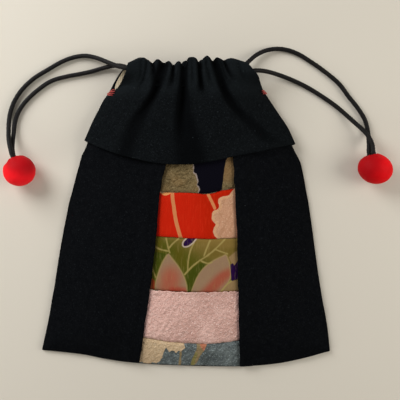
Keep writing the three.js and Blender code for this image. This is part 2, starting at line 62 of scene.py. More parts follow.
def spline(ts, vs, t):
    ts, vs, t = np.asarray(ts, float), np.asarray(vs, float), np.asarray(t, float)
    n = len(ts)
    t = np.clip(t, ts[0], ts[-1])
    m = np.empty(n)
    m[0] = (vs[1] - vs[0]) / (ts[1] - ts[0])
    m[-1] = (vs[-1] - vs[-2]) / (ts[-1] - ts[-2])
    m[1:-1] = (vs[2:] - vs[:-2]) / (ts[2:] - ts[:-2])
    i = np.clip(np.searchsorted(ts, t, side="right") - 1, 0, n - 2)
    h = ts[i + 1] - ts[i]
    s = (t - ts[i]) / h
    a, b, c, d = 2 * s**3 - 3 * s**2 + 1, s**3 - 2 * s**2 + s, -2 * s**3 + 3 * s**2, s**3 - s**2
    return a * vs[i] + b * h * m[i] + c * vs[i + 1] + d * h * m[i + 1]


def at(ts, pts, t):
    return spline(ts, [p[0] for p in pts], t), spline(ts, [p[1] for p in pts], t)


def spline4(ks, vals, t):
    """A spline over four knots whose values are arrays."""
    t = np.asarray(t, float)
    slopes = [(vals[1] - vals[0]) / (ks[1] - ks[0])]
    slopes += [(vals[k + 1] - vals[k - 1]) / (ks[k + 1] - ks[k - 1]) for k in (1, 2)]
    slopes += [(vals[3] - vals[2]) / (ks[3] - ks[2])]
    out = np.zeros(np.broadcast(t, vals[0]).shape)
    for k in range(3):
        h = ks[k + 1] - ks[k]
        s = (t - ks[k]) / h
        v = ((2 * s**3 - 3 * s**2 + 1) * vals[k] + (s**3 - 2 * s**2 + s) * h * slopes[k]
             + (-2 * s**3 + 3 * s**2) * vals[k + 1] + (s**3 - s**2) * h * slopes[k + 1])
        inside = (t >= ks[k] if k else t > -9) & (t < ks[k + 1] if k < 2 else t < 9)
        out = np.where(inside, v, out)
    return out


LATTICE = np.random.RandomState(7).uniform(-1, 1, (97, 97))


def noise(x, y, cell, seed=0):
    """Smooth value noise in -1..1 with features of about `cell` millimetres."""
    x = np.asarray(x, float) / cell + 13.7 * seed
    y = np.asarray(y, float) / cell + 5.3 * seed
    i, j = np.floor(x).astype(int), np.floor(y).astype(int)
    a, b = x - i, y - j
    a, b = a * a * a * (a * (6 * a - 15) + 10), b * b * b * (b * (6 * b - 15) + 10)
    g = lambda p, q: LATTICE[p % 97, q % 97]
    return lerp(lerp(g(i, j), g(i + 1, j), a), lerp(g(i, j + 1), g(i + 1, j + 1), a), b)


def ripples(x, y, angle, across, along, seed=0):
    """Long soft ripples that run at `angle` degrees."""
    c, s = math.cos(math.radians(angle)), math.sin(math.radians(angle))
    p, q = x * c + y * s, -x * s + y * c
    q = q + 0.5 * across * noise(p, q, along, seed + 3)
    return noise(p * across / along, q, across, seed)


# ---------------------------------------------------------------- the pouch's own curves (as in part.mjs)
ROWS = [0, 0.12, 0.36, 0.625, 0.856, 1, 1.07]
LEFT = [[-92.1, -88.0], [-88.6, -71.9], [-82.9, -39.8], [-76.9, -4.3], [-69.3, 26.7], [-64.4, 45.9], [-62.3, 55.0]]
STRIP_L = [[-30.3, -96.4], [-27.6, -79.3], [-22.7, -48.2], [-18.8, -14.4], [-16.4, 13.5], [-12.8, 30.5], [-11.3, 38.6]]
STRIP_R = [[35.1, -98.2], [34.4, -81.2], [33.6, -49.9], [32.7, -15.5], [31.3, 15.7], [30.0, 35.5], [29.2, 44.3]]
RIGHT = [[92.2, -88.8], [90.4, -72.9], [85.0, -41.0], [80.0, -5.9], [75.0, 24.7], [69.5, 43.9], [65.6, 53.7]]
COL_L, COL_R = 0.34, 0.69
CROWN_ROWS = [0, 0.2, 0.36, 0.625, 0.856, 1, 1.07]
CROWN = [10.5, 11.0, 11.8, 12.8, 13.4, 14.0, 14.2]
HEM = [[-65.0, 46.7], [-53.9, 41.7], [-38.9, 36.4], [-15.7, 31.5], [3.0, 31.2], [16.6, 33.0], [30.4, 36.0], [48.4, 39.6], [61.1, 42.7], [70.2, 44.5]]
SIDE_L = [[-65.0, 46.7], [-60.5, 56.9], [-56.5, 65.5], [-50.8, 75.5], [-42.9, 80.6], [-38.1, 85.6], [-36.3, 89.6], [-35.6, 94.6]]
SIDE_R = [[70.2, 44.5], [65.4, 54.9], [58.9, 65.0], [52.3, 75.0], [48.4, 80.9], [45.1, 86.0], [41.6, 90.2], [38.2, 94.6]]
SIDE_V = [0, 0.2, 0.385, 0.6, 0.72, 0.82, 0.905, 1]
BACK_L = [[-65.0, 46.7], [-60.5, 56.9], [-56.5, 65.5], [-51.2, 75.5], [-48.4, 80.6], [-45.9, 85.6], [-43.2, 90.0], [-40.0, 94.6]]
BACK_R = [[70.2, 44.5], [65.4, 54.9], [59.1, 65.0], [52.6, 75.0], [48.2, 80.9], [43.6, 86.0], [39.4, 90.2], [35.9, 94.6]]
TOP = [[-35.6, 94.6], [-27.0, 97.9], [-20.7, 94.6], [-17.8, 96.7], [-13.2, 95.0], [-10.4, 95.9], [-7.5, 93.0], [-4.1, 95.7], [-0.7, 92.4], [1.5, 97.6], [6.8, 97.4], [8.6, 94.4], [13.2, 99.0], [17.0, 96.3], [19.5, 98.0], [23.9, 96.4], [28.9, 97.3], [36.2, 95.3], [38.2, 94.6]]
TOP_DIPS = [-20.7, -13.2, -7.5, -0.7, 8.6, 17.0, 23.9]
SIDE_HEIGHT_V = [0, 0.2, 0.33, 0.42, 0.62, 0.70, 0.76, 0.815, 0.87, 1]
SIDE_HEIGHT = [6.1, 6.1, 4.6, 3.9, 3.9, 6.0, 11.0, 16.0, 18.0, 18.2]
SEAM_EDGE, LAP_LIFT, PATCH_TUCK, HEM_RISE, MOUTH_TOP = 2.7, 1.5, 5.0, 1.8, 18.6
FRONT_CHANNEL_Z, BACK_CHANNEL_Z, LANE = 14.4, 3.4, 1.75
CORD_R = 1.5

# Seams as they show on the pouch, row by row: x, y points.
SEAMS = {
    0: [(-92.2, -88.1), (-66.9, -90.9), (-49.5, -94.3), (-30.7, -96.6), (-3.8, -98.0), (35.1, -98.6), (59.2, -96.8), (77.8, -93.0), (92.3, -88.9)],
    0.12: [(-27.6, -79.3), (-16.4, -81.4), (-2.8, -83.0), (12.0, -83.6), (23.1, -82.9), (34.3, -81.2)],
    0.36: [(-22.6, -48.4), (-12.4, -49.5), (1.5, -50.2), (16.7, -50.3), (33.5, -49.9)],
    0.625: [(-18.9, -14.4), (-11.1, -14.9), (-3.7, -15.4), (12.0, -16.2), (21.7, -15.9), (32.5, -15.5)],
    0.856: [(-16.8, 13.4), (-6.0, 13.2), (5.8, 12.9), (12.6, 12.3), (17.9, 13.1), (23.0, 14.6), (30.9, 16.0)],
}


def body_raw(c, t):
    l, a, b, r = (at(ROWS, k, t) for k in (LEFT, STRIP_L, STRIP_R, RIGHT))
    x = np.where(c < COL_L, lerp(l[0], a[0], c / COL_L),
                 np.where(c < COL_R, lerp(a[0], b[0], (c - COL_L) / (COL_R - COL_L)), lerp(b[0], r[0], (c - COL_R) / (1 - COL_R))))
    return x, spline4([0, COL_L, COL_R, 1], [l[1], a[1], b[1], r[1]], c)


def seam_fix(x, t):
    """How far each row's seam lies from the plain four-point curve."""
    rows = [0, 0.12, 0.36, 0.625, 0.856]
    out = np.zeros(np.broadcast(x, t).shape)
    cs = np.linspace(0, 1, 201)
    for k, row in enumerate(rows):
        px, py = body_raw(cs, np.full(201, row))
        want = SEAMS[row]
        wx, wy = [p[0] for p in want], [p[1] for p in want]
        off = spline(wx, wy, px) - py
        off = np.where((px < wx[0]) | (px > wx[-1]), 0, off)
        here = np.interp(x, px, off)
        below = rows[k - 1] if k else -0.2
        above = rows[k + 1] if k + 1 < len(rows) else 1.05
        w = np.where(t < row, np.clip((t - below) / (row - below), 0, 1), np.clip((above - t) / (above - row), 0, 1))
        out = out + here * w
    return out


def body_xy(c, t):
    x, y = body_raw(c, t)
    return x, y + seam_fix(x, t)


def back_rise(t):
    return HEM_RISE * step(0.86, 0.965, t)


def puff(s, p):
    return 1 - np.abs(np.clip(1 - s, 0, 1)) ** p


def front_z(c, t):
    edge = SEAM_EDGE + back_rise(t)
    f = np.maximum(puff(2 * np.minimum(c, 1 - c), 3.2), 1e-4)
    g = np.maximum(puff(t / 0.45, 3), 1e-4)
    soft = np.minimum(1, 1.19 * (f**-4 + g**-4) ** -0.25)
    return edge + (spline(CROWN_ROWS, CROWN, t) - edge) * soft


def across(pts, u):
    x0, x1 = pts[0][0], pts[-1][0]
    x = lerp(x0, x1, np.clip(u, 0, 1))
    return x, np.interp(x, [p[0] for p in pts], [p[1] for p in pts])


def top_y(x):
    """The folded top edge: rounded puffs that meet in sharp dips."""
    px, py = [p[0] for p in TOP], [p[1] for p in TOP]
    cuts = [px[0]] + TOP_DIPS + [px[-1]]
    out = np.zeros(np.shape(x))
    for a, b in zip(cuts[:-1], cuts[1:]):
        i, j = px.index(a), px.index(b)
        part = spline(px[i:j + 1], py[i:j + 1], x) if j - i > 1 else np.interp(x, [a, b], [py[i], py[j]])
        out = np.where((x >= a - 1e-6) & (x <= b + 1e-6), part, out)
    return out


def mouth_xy(u, v, back, smooth=False):
    L, R = (BACK_L, BACK_R) if back else (SIDE_L, SIDE_R)
    h, tp = across(HEM, u), across(TOP, u)
    hx, hy = h
    hy = spline([p[0] for p in HEM], [p[1] for p in HEM], hx)
    tx, ty = tp[0], top_y(tp[0])
    l, r = at(SIDE_V, L, v), at(SIDE_V, R, v)
    stretch = lerp(L[-1][0] - TOP[0][0], R[-1][0] - TOP[-1][0], u) if back else 0
    out = []
    for k, (a, b) in enumerate(((hx, tx + stretch), (hy, ty))):
        out.append(lerp(a, b, v) + (1 - u) * (l[k] - lerp(L[0][k], L[-1][k], v)) + u * (r[k] - lerp(R[0][k], R[-1][k], v)))
    return out


def v_at_y(u, y, back):
    a, b = np.zeros(np.shape(u)), np.ones(np.shape(u)) * 1.05
    for _ in range(26):
        m = (a + b) / 2
        low = mouth_xy(u, m, back)[1] < y
        a, b = np.where(low, m, a), np.where(low, b, m)
    return (a + b) / 2


def mouth_front(u, v):
    edge = spline(SIDE_HEIGHT_V, SIDE_HEIGHT, v)
    crown = spline([0, 0.3, 0.6, 0.85, 1], [17.4, 17.8, 18.2, MOUTH_TOP, MOUTH_TOP], v)
    return edge + (crown - edge) * np.minimum(1, 1.02 * puff(2 * np.minimum(u, 1 - u), 3.4))


def channel_y(u):
    return lerp(86.4, 89.9, np.abs(2 * u - 1) ** 3)


def channel_half(u):
    return lerp(4.0, 3.6, np.abs(2 * u - 1) ** 3)


# ---------------------------------------------------------------- mesh builders
def new_mesh(name, verts, faces, material, attributes=()):
    me = bpy.data.meshes.new(name)
    me.from_pydata((np.asarray(verts, float) * MM).tolist(), [], [tuple(int(i) for i in f) for f in faces])
    me.update()
    for key, values in dict(attributes).items():
        layer = me.attributes.new(key, "FLOAT", "POINT")
        layer.data.foreach_set("value", np.asarray(values, np.float32).ravel())
    me.polygons.foreach_set("use_smooth", [True] * len(me.polygons))
    ob = bpy.data.objects.new(name, me)
    bpy.context.scene.collection.objects.link(ob)
    me.materials.append(material)
    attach(ob, "root")
    return ob


def unit(a):
    return a / np.maximum(np.linalg.norm(a, axis=-1, keepdims=True), 1e-9)


def shell(name, P, thick, material, attributes=None, roll=0.5, flip=False):
    """A closed cloth from its outer face P (rows, columns, 3), with a rolled rim all round."""
    nv, nu = P.shape[:2]
    thick = np.broadcast_to(np.asarray(thick, float), (nv, nu))[..., None]
    du, dv = np.gradient(P, axis=1), np.gradient(P, axis=0)
    N = unit(np.cross(du, dv)) * (-1 if flip else 1)
    Q = P - N * thick
    M = (P + Q) / 2
    ring = [(0, i) for i in range(nu)] + [(j, nu - 1) for j in range(1, nv)]
    ring += [(nv - 1, i) for i in range(nu - 2, -1, -1)] + [(j, 0) for j in range(nv - 2, 0, -1)]
    out = np.zeros_like(P)
    eu, ev = unit(du), unit(dv)
    out[0] -= ev[0]
    out[-1] += ev[-1]
    out[:, 0] -= eu[:, 0]
    out[:, -1] += eu[:, -1]
    out = unit(out)
    rj, ri = np.array([r[0] for r in ring]), np.array([r[1] for r in ring])
    half = thick[rj, ri] / 2
    rims = []
    for a in (40, 0, -40):
        ca, sa = math.cos(math.radians(a)), math.sin(math.radians(a))
        rims.append(M[rj, ri] + N[rj, ri] * half * sa + out[rj, ri] * half * roll * 2 * ca * 0.5)
    n, m = nu * nv, len(ring)
    verts = np.concatenate([P.reshape(-1, 3), Q.reshape(-1, 3)] + rims)
    idx = np.arange(n).reshape(nv, nu)
    a, b, c, d = idx[:-1, :-1].ravel(), idx[:-1, 1:].ravel(), idx[1:, 1:].ravel(), idx[1:, :-1].ravel()
    top = np.stack([a, b, c, d], 1)
    low = np.stack([a + n, d + n, c + n, b + n], 1)
    loops = [idx[rj, ri]] + [2 * n + k * m + np.arange(m) for k in range(3)] + [idx[rj, ri] + n]
    sides = []
    for p, q in zip(loops[:-1], loops[1:]):
        sides.append(np.stack([p, q, np.roll(q, -1), np.roll(p, -1)], 1))
    faces = np.concatenate([top, low] + sides)
    if flip:
        faces = faces[:, ::-1]
    attrs = {}
    for key, val in (attributes or {}).items():
        val = np.broadcast_to(np.asarray(val, float), (nv, nu))
        attrs[key] = np.concatenate([val.ravel(), val.ravel()] + [val[rj, ri]] * 3)
    return new_mesh(name, verts, faces, material, attrs)


def tube(name, pts, radius, sides, material, relief=None, attributes=None, twist=0.0, caps=True):
    """A closed tube along pts. relief(s, angle) scales its radius."""
    pts = np.asarray(pts, float)
    n = len(pts)
    T = unit(np.gradient(pts, axis=0))
    s = np.concatenate([[0], np.cumsum(np.linalg.norm(np.diff(pts, axis=0), axis=1))])
    N = np.zeros_like(pts)
    up = np.array([0, 0, 1.0]) if abs(T[0][2]) < 0.9 else np.array([1.0, 0, 0])
    N[0] = unit(up - T[0] * np.dot(up, T[0]))
    for i in range(1, n):
        v = N[i - 1] - T[i] * np.dot(N[i - 1], T[i])
        N[i] = v / np.linalg.norm(v)
    B = np.cross(T, N)
    ang = np.arange(sides) * 2 * math.pi / sides
    A, S = np.meshgrid(ang, s)
    rad = np.broadcast_to(np.asarray(radius, float), (n,))[:, None] * (relief(S, A) if relief else 1)
    V = pts[:, None, :] + N[:, None, :] * (rad * np.cos(A))[..., None] + B[:, None, :] * (rad * np.sin(A))[..., None]
    verts = V.reshape(-1, 3)
    idx = np.arange(n * sides).reshape(n, sides)
    a, b = idx[:-1], np.roll(idx[:-1], -1, 1)
    c, d = np.roll(idx[1:], -1, 1), idx[1:]
    faces = [tuple(q) for q in np.stack([a, b, c, d], -1).reshape(-1, 4)]
    k = len(verts)
    verts = np.concatenate([verts, pts[:1] - T[:1] * 0.15 * np.mean(radius), pts[-1:] + T[-1:] * 0.15 * np.mean(radius)])
    for i in range(sides):
        faces.append((k, int(idx[0, (i + 1) % sides]), int(idx[0, i])))
        faces.append((k + 1, int(idx[-1, i]), int(idx[-1, (i + 1) % sides])))
    return verts, faces, V


def join(parts):
    verts, faces, k = [], [], 0
    for v, f in parts:
        verts.append(v)
        faces += [tuple(i + k for i in q) for q in f]
        k += len(v)
    return np.concatenate(verts), faces


def resample(pts, gap):
    pts = np.asarray(pts, float)
    s = np.concatenate([[0], np.cumsum(np.linalg.norm(np.diff(pts, axis=0), axis=1))])
    n = max(2, int(round(s[-1] / gap)))
    q = np.linspace(0, s[-1], n + 1)
    return np.stack([np.interp(q, s, pts[:, k]) for k in range(3)], 1)


def smooth_curve(pts, per=40):
    """Centripetal Catmull-Rom through pts, the same curve as the CAD cords."""
    pts = [np.array(p, float) for p in pts]
    ext = [2 * pts[0] - pts[1]] + pts + [2 * pts[-1] - pts[-2]]
    out = []
    for i in range(len(pts) - 1):
        p0, p1, p2, p3 = ext[i:i + 4]
        d0, d1, d2 = (max(np.sum((b - a) ** 2) ** 0.25, 1e-4) for a, b in ((p0, p1), (p1, p2), (p2, p3)))
        t1 = ((p1 - p0) / d0 - (p2 - p0) / (d0 + d1) + (p2 - p1) / d1) * d1
        t2 = ((p2 - p1) / d1 - (p3 - p1) / (d1 + d2) + (p3 - p2) / d2) * d1
        for k in range(per):
            t = k / per
            out.append(p1 + t1 * t + (-3 * p1 + 3 * p2 - 2 * t1 - t2) * t * t + (2 * p1 - 2 * p2 + t1 + t2) * t**3)
    out.append(pts[-1])
    return np.array(out)


# ---------------------------------------------------------------- shapes of the prints
def rounded(poly, times=2):
    p = np.asarray(poly, float)
    for _ in range(times):
        q = np.roll(p, -1, 0)
        p = np.stack([0.75 * p + 0.25 * q, 0.25 * p + 0.75 * q], 1).reshape(-1, 2)
    return p


def bent(line, times=2):
    p = np.asarray(line, float)
    for _ in range(times):
        a, b = p[:-1], p[1:]
        p = np.concatenate([p[:1], np.stack([0.75 * a + 0.25 * b, 0.25 * a + 0.75 * b], 1).reshape(-1, 2), p[-1:]])
    return p


def to_line(x, y, line):
    """Distance from each point to a line of segments."""
    best = np.full(x.shape, 1e9)
    for (ax, ay), (bx, by) in zip(line[:-1], line[1:]):
        dx, dy = bx - ax, by - ay
        t = np.clip(((x - ax) * dx + (y - ay) * dy) / max(dx * dx + dy * dy, 1e-9), 0, 1)
        best = np.minimum(best, np.hypot(x - ax - t * dx, y - ay - t * dy))
    return best


def area(x, y, poly):
    """Signed distance to a closed shape, negative inside."""
    closed = np.concatenate([poly, poly[:1]])
    d = to_line(x, y, closed)
    inside = np.zeros(x.shape, bool)
    for (ax, ay), (bx, by) in zip(closed[:-1], closed[1:]):
        if ay == by:
            continue
        hit = ((ay > y) != (by > y)) & (x < (bx - ax) * (y - ay) / (by - ay) + ax)
        inside ^= hit
    return np.where(inside, -d, d)


def strokes(x, y, lines, width):
    return np.min([to_line(x, y, bent(l)) for l in lines], axis=0) - width / 2


# ---------------------------------------------------------------- materials
def srgb(r, g, b):
    f = lambda c: c / 12.92 if c <= 0.04045 else ((c + 0.055) / 1.055) ** 2.4
    return (f(r / 255), f(g / 255), f(b / 255), 1.0)


class Cloth:
    """A cloth shader built step by step."""

    def __init__(self, name, rough=0.85, specular=0.2, sheen=0.0, sheen_rough=0.4, sheen_tint=(1, 1, 1, 1)):
        self.mat = bpy.data.materials.new(name)
        self.mat.use_nodes = True
        self.nt = self.mat.node_tree
        self.bsdf = self.nt.nodes["Principled BSDF"]
        self.bsdf.inputs["Roughness"].default_value = rough
        self.bsdf.inputs["Specular IOR Level"].default_value = specular
        self.bsdf.inputs["Sheen Weight"].default_value = sheen
        self.bsdf.inputs["Sheen Roughness"].default_value = sheen_rough
        self.bsdf.inputs["Sheen Tint"].default_value = sheen_tint
        self.co = self.nt.nodes.new("ShaderNodeTexCoord").outputs["Object"]
        self.colour = None
        self.height = None

    def node(self, kind, **values):
        n = self.nt.nodes.new(kind)
        for k, v in values.items():
            setattr(n, k, v)
        return n

    def link(self, a, b):
        self.nt.links.new(a, b)

    def stretch(self, scale, turn=0.0):
        m = self.node("ShaderNodeMapping")
        m.inputs["Scale"].default_value = scale
        m.inputs["Rotation"].default_value = (0, 0, math.radians(turn))
        self.link(self.co, m.inputs["Vector"])
        return m.outputs["Vector"]

    def grain(self, cell, detail=2.0, rough=0.5, stretch=(1, 1, 1), turn=0.0):
        """Noise with features of about `cell` millimetres."""
        n = self.node("ShaderNodeTexNoise")
        n.inputs["Scale"].default_value = 1000.0 / cell
        n.inputs["Detail"].default_value = detail
        n.inputs["Roughness"].default_value = rough
        self.link(self.stretch(stretch, turn), n.inputs["Vector"])
        return n.outputs["Fac"]

    def cells(self, cell, feature="F1", smooth=None, stretch=(1, 1, 1), turn=0.0):
        n = self.node("ShaderNodeTexVoronoi", feature=feature)
        n.inputs["Scale"].default_value = 1000.0 / cell
        if smooth is not None:
            n.inputs["Smoothness"].default_value = smooth
        self.link(self.stretch(stretch, turn), n.inputs["Vector"])
        return n.outputs["Distance"]

    def ramp(self, value, a, b, lo=0.0, hi=1.0):
        m = self.node("ShaderNodeMapRange", interpolation_type="SMOOTHSTEP")
        self.link(value, m.inputs["Value"])
        m.inputs["From Min"].default_value = a
        m.inputs["From Max"].default_value = b
        m.inputs["To Min"].default_value = lo
        m.inputs["To Max"].default_value = hi
        return m.outputs["Result"]

    def attribute(self, name):
        n = self.node("ShaderNodeAttribute", attribute_name=name)
        return n.outputs["Fac"]

    def mix(self, fac, a, b):
        m = self.node("ShaderNodeMix", data_type="RGBA")
        self.link(fac, m.inputs["Factor"])
        for sock, val in ((m.inputs[6], a), (m.inputs[7], b)):
            if isinstance(val, tuple):
                sock.default_value = val
            else:
                self.link(val, sock)
        return m.outputs[2]

    def base(self, a, b, fac):
        self.colour = self.mix(fac, a, b)
        return self

    def layer(self, fac, colour):
        self.colour = self.mix(fac, self.colour, colour)
        return self

    def shape(self, attr, colour, soft=0.14, strength=1.0):
        """Lays a colour where the attribute's distance is negative."""
        return self.layer(self.ramp(self.attribute(attr), soft, -soft, 0.0, strength), colour)

    def math(self, op, a, b):
        m = self.node("ShaderNodeMath", operation=op)
        for sock, val in ((m.inputs[0], a), (m.inputs[1], b)):
            if isinstance(val, (int, float)):
                sock.default_value = val
            else:
                self.link(val, sock)
        return m.outputs[0]

    def bump(self, height, depth, strength=1.0):
        """Raises the surface by height (0 to 1) times depth millimetres."""
        n = self.node("ShaderNodeBump")
        n.inputs["Strength"].default_value = strength
        n.inputs["Distance"].default_value = depth * MM
        self.link(height, n.inputs["Height"])
        if self.height is not None:
            self.link(self.height, n.inputs["Normal"])
        self.height = n.outputs["Normal"]
        return self

    def done(self):
        if self.colour is not None:
            self.link(self.colour, self.bsdf.inputs["Base Color"])
        if self.height is not None:
            self.link(self.height, self.bsdf.inputs["Normal"])
        return self.mat


def weave(m, pitch, depth, turn=0.0, strength=1.0):
    """Plain weave: two thread directions."""
    for k, angle in enumerate((turn, turn + 90)):
        w = m.node("ShaderNodeTexWave", wave_type="BANDS", bands_direction="X", wave_profile="SIN")
        w.inputs["Scale"].default_value = 1000.0 / pitch / 20 * math.pi * 2 / 2
        w.inputs["Distortion"].default_value = 0.6
        w.inputs["Detail"].default_value = 1.0
        m.link(m.stretch((1, 1, 1), angle), w.inputs["Vector"])
        m.bump(w.outputs["Fac"], depth, strength)
    return m


def black_cloth(name, dark, pale, folds=False):
    m = Cloth(name, rough=0.95, specular=0.025, sheen=0.004, sheen_rough=0.6, sheen_tint=(0.8, 0.92, 1, 1))
    m.base(dark, pale, m.ramp(m.grain(1.5 if folds else 2.6, 4, 0.7), 0.36, 0.72))
    m.layer(m.ramp(m.grain(12, 2), 0.42, 0.70, 0.0, 0.30), pale)
    m.layer(m.ramp(m.grain(0.9, 2, 0.7), 0.55, 0.76, 0.0, 0.85 if folds else 0.5), srgb(31, 35, 37.5))
    if folds:
        # painted highlight: the rounded puffs at the top of the mouth cloth are painted paler
        m.layer(m.ramp(m.attribute("puff"), 0.1, 1.0, 0.0, 0.50), srgb(24, 28, 30))
    if folds:                                          # painted shade: darker in the fold valleys between the crests and in the troughs the folds run out into
        m.layer(m.ramp(m.attribute("crest"), 0.62, 0.05, 0.0, 0.80), srgb(2.5, 3, 3.5))
        m.layer(m.ramp(m.attribute("painted_trough_shade"), 0.08, 0.90, 0.0, 0.86), srgb(3.5, 4.2, 5))
    lint = m.ramp(m.cells(6.5), 0.036, 0.016)
    few = m.ramp(m.grain(11, 1), 0.50, 0.62)
    m.layer(m.math("MULTIPLY", m.math("MULTIPLY", lint, few), 0.5), srgb(96, 100, 98))
    dust = m.ramp(m.cells(3.4), 0.105, 0.05)
    m.layer(m.math("MULTIPLY", m.math("MULTIPLY", dust, m.ramp(m.grain(15, 2), 0.46, 0.64)), 0.55 if folds else 0.28), srgb(58, 66, 68))
    m.bump(m.cells(0.85, "SMOOTH_F1", 0.4), 0.16, 0.8)
    m.bump(m.grain(2.4, 3, 0.6), 0.20, 0.7)
    return m.done()


def crepe(name, rough=0.85, specular=0.2, sheen=0.05):
    return Cloth(name, rough=rough, specular=specular * 0.15, sheen=sheen * 0.1, sheen_rough=0.5)


def crepe_bump(m, cell=1.0, depth=0.3, turn=35):
    m.bump(m.cells(cell, "SMOOTH_F1", 0.5, (1, 1.5, 1), turn), depth, 0.9)
    m.bump(m.grain(cell * 0.5, 2), depth * 0.35, 0.8)
    return m


# ---------------------------------------------------------------- front side panels
def side_panel(name, right, material):
    nu, nv = (84, 170) if not right else (78, 170)
    s = np.linspace(0, 1, nu)
    s = 0.5 * s + 0.5 * (0.5 - 0.5 * np.cos(np.pi * s))
    t = np.linspace(0, 1.07, nv)
    S, T = np.meshgrid(s, t)
    C = lerp(1.0, COL_R, S) if right else lerp(0.0, COL_L, S)
    x, y = body_xy(C, T)
    inner = body_xy(np.full_like(T, COL_R if right else COL_L), T)[0]
    d = np.abs(x - inner)
    width = np.abs(body_xy(np.full_like(T, 1.0 if right else 0.0), T)[0] - inner)
    out = width - d
    z = front_z(C, T) + LAP_LIFT * step(13, 6.5, d) * 0.92
    # folded edge: a soft welt that waves a little and pulls in at its stitches
    welt = step(3.6, 0.9, d)
    z += 0.22 * welt - 0.16 * np.exp(-((d - 4.4) / 0.9) ** 2)
    z += 0.16 * np.exp(-(d / 6) ** 2) * noise(x * 0.2, y, 5.5, 3 + right)
    x = x + (0.26 * noise(x * 0.1, y, 6.5, 5 + right) + 0.12 * noise(x * 0.1, y, 2.3, 8 + right)) * np.exp(-(d / 3) ** 2)
    # side seam: small puckers; bottom seam the same
    z += 0.34 * np.exp(-(out / 4.5) ** 2) * noise(x * 0.15, y, 4.6, 11 + right)
    low = (T * 133)
    z += 0.30 * np.exp(-(low / 4.5) ** 2) * noise(x, y * 0.15, 4.8, 14 + right)
    grow = np.exp(-(out / 2.0) ** 2)
    x = x + (1 if right else -1) * 0.22 * grow * noise(x * 0.1, y, 7.5, 17 + right)
    y = y - 0.25 * np.exp(-(low / 2.0) ** 2) * noise(x, y * 0.1, 8.0, 19 + right)
    x = x + (-1 if right else 1) * 1.9 * step(0.90, 1.05, T) * step(9, 0, out)
    # slack in the cloth
    calm = step(0, 9, out) * step(0, 9, low)
    z += calm * (0.42 * noise(x, y, 30, 21 + right) + 0.22 * noise(x, y, 13, 23 + right) + 0.10 * noise(x, y, 6, 25))
    z += calm * 0.3 * ripples(x, y, 62 if right else 118, 9, 60, 31 + right) * step(0.25, 0.95, T)
    P = np.stack([x, y, z], -1)
    if right:
        P = P[:, ::-1]
    return shell(name, P, 1.1 + 0.25 * (welt[:, ::-1] if right else welt), material)


# ---------------------------------------------------------------- patches
def strip_column(x, t):
    l, a, b, r = (at(ROWS, k, t)[0] for k in (LEFT, STRIP_L, STRIP_R, RIGHT))
    return np.where(x < a, COL_L * (x - l) / (a - l), np.where(x < b, COL_L + (COL_R - COL_L) * (x - a) / (b - a), COL_R + (1 - COL_R) * (x - b) / (r - b)))


def patch(name, t0, t1, material, relief, prints, top=-0.55, bottom=-0.5, nu=150, per=0.52, wobble=0.12):
    half = 0.35 / 2 / 133
    a, b = (t0 if t0 == 0 else t0 + half), (t1 if t1 > 1 else t1 - half)
    nv = int((b - a) * 133 / per)
    s, t = np.linspace(0, 1, nu), np.linspace(a, b, nv)
    S, T = np.meshgrid(s, t)
    xl = body_raw(np.full_like(T, COL_L), T)[0] - PATCH_TUCK
    xr = body_raw(np.full_like(T, COL_R), T)[0] + PATCH_TUCK
    x = lerp(xl, xr, S)
    c = strip_column(x, T)
    y = body_raw(c, T)[1] + seam_fix(x, T)
    z = front_z(c, T) - 0.12
    up, low = (b - T) * 133, (T - a) * 133
    side = np.minimum(x - xl, xr - x) - PATCH_TUCK
    z += 0.25 * step(0, 5, np.minimum(up, low))                 # each patch is a little full
    free = step(-2.5, 1.0, side)
    z += free * relief(x, y)
    if t1 <= 1:
        z += top * np.exp(-(up / 0.75) ** 2)
        y = y + wobble * np.exp(-(up / 1.2) ** 2) * noise(x, y * 0.1, 2.2, 41)
    if t0 > 0:
        z += bottom * np.exp(-(low / 0.75) ** 2)
        y = y + wobble * np.exp(-(low / 1.2) ** 2) * noise(x, y * 0.1, 2.6, 43)
    else:
        z += 0.3 * np.exp(-(low / 4.5) ** 2) * noise(x, y * 0.15, 4.8, 14)
    z -= 0.45 * np.exp(-(np.maximum(side, 0) / 1.3) ** 2) * (side > -1.5)   # dips in where the panel laps it
    attrs = prints(x, y)
    # distance out from under the panels' lap; the red and pink patches paint shade along it
    attrs["edge"] = side
    return shell(name, np.stack([x, y, z], -1), 1.1, material, attrs)


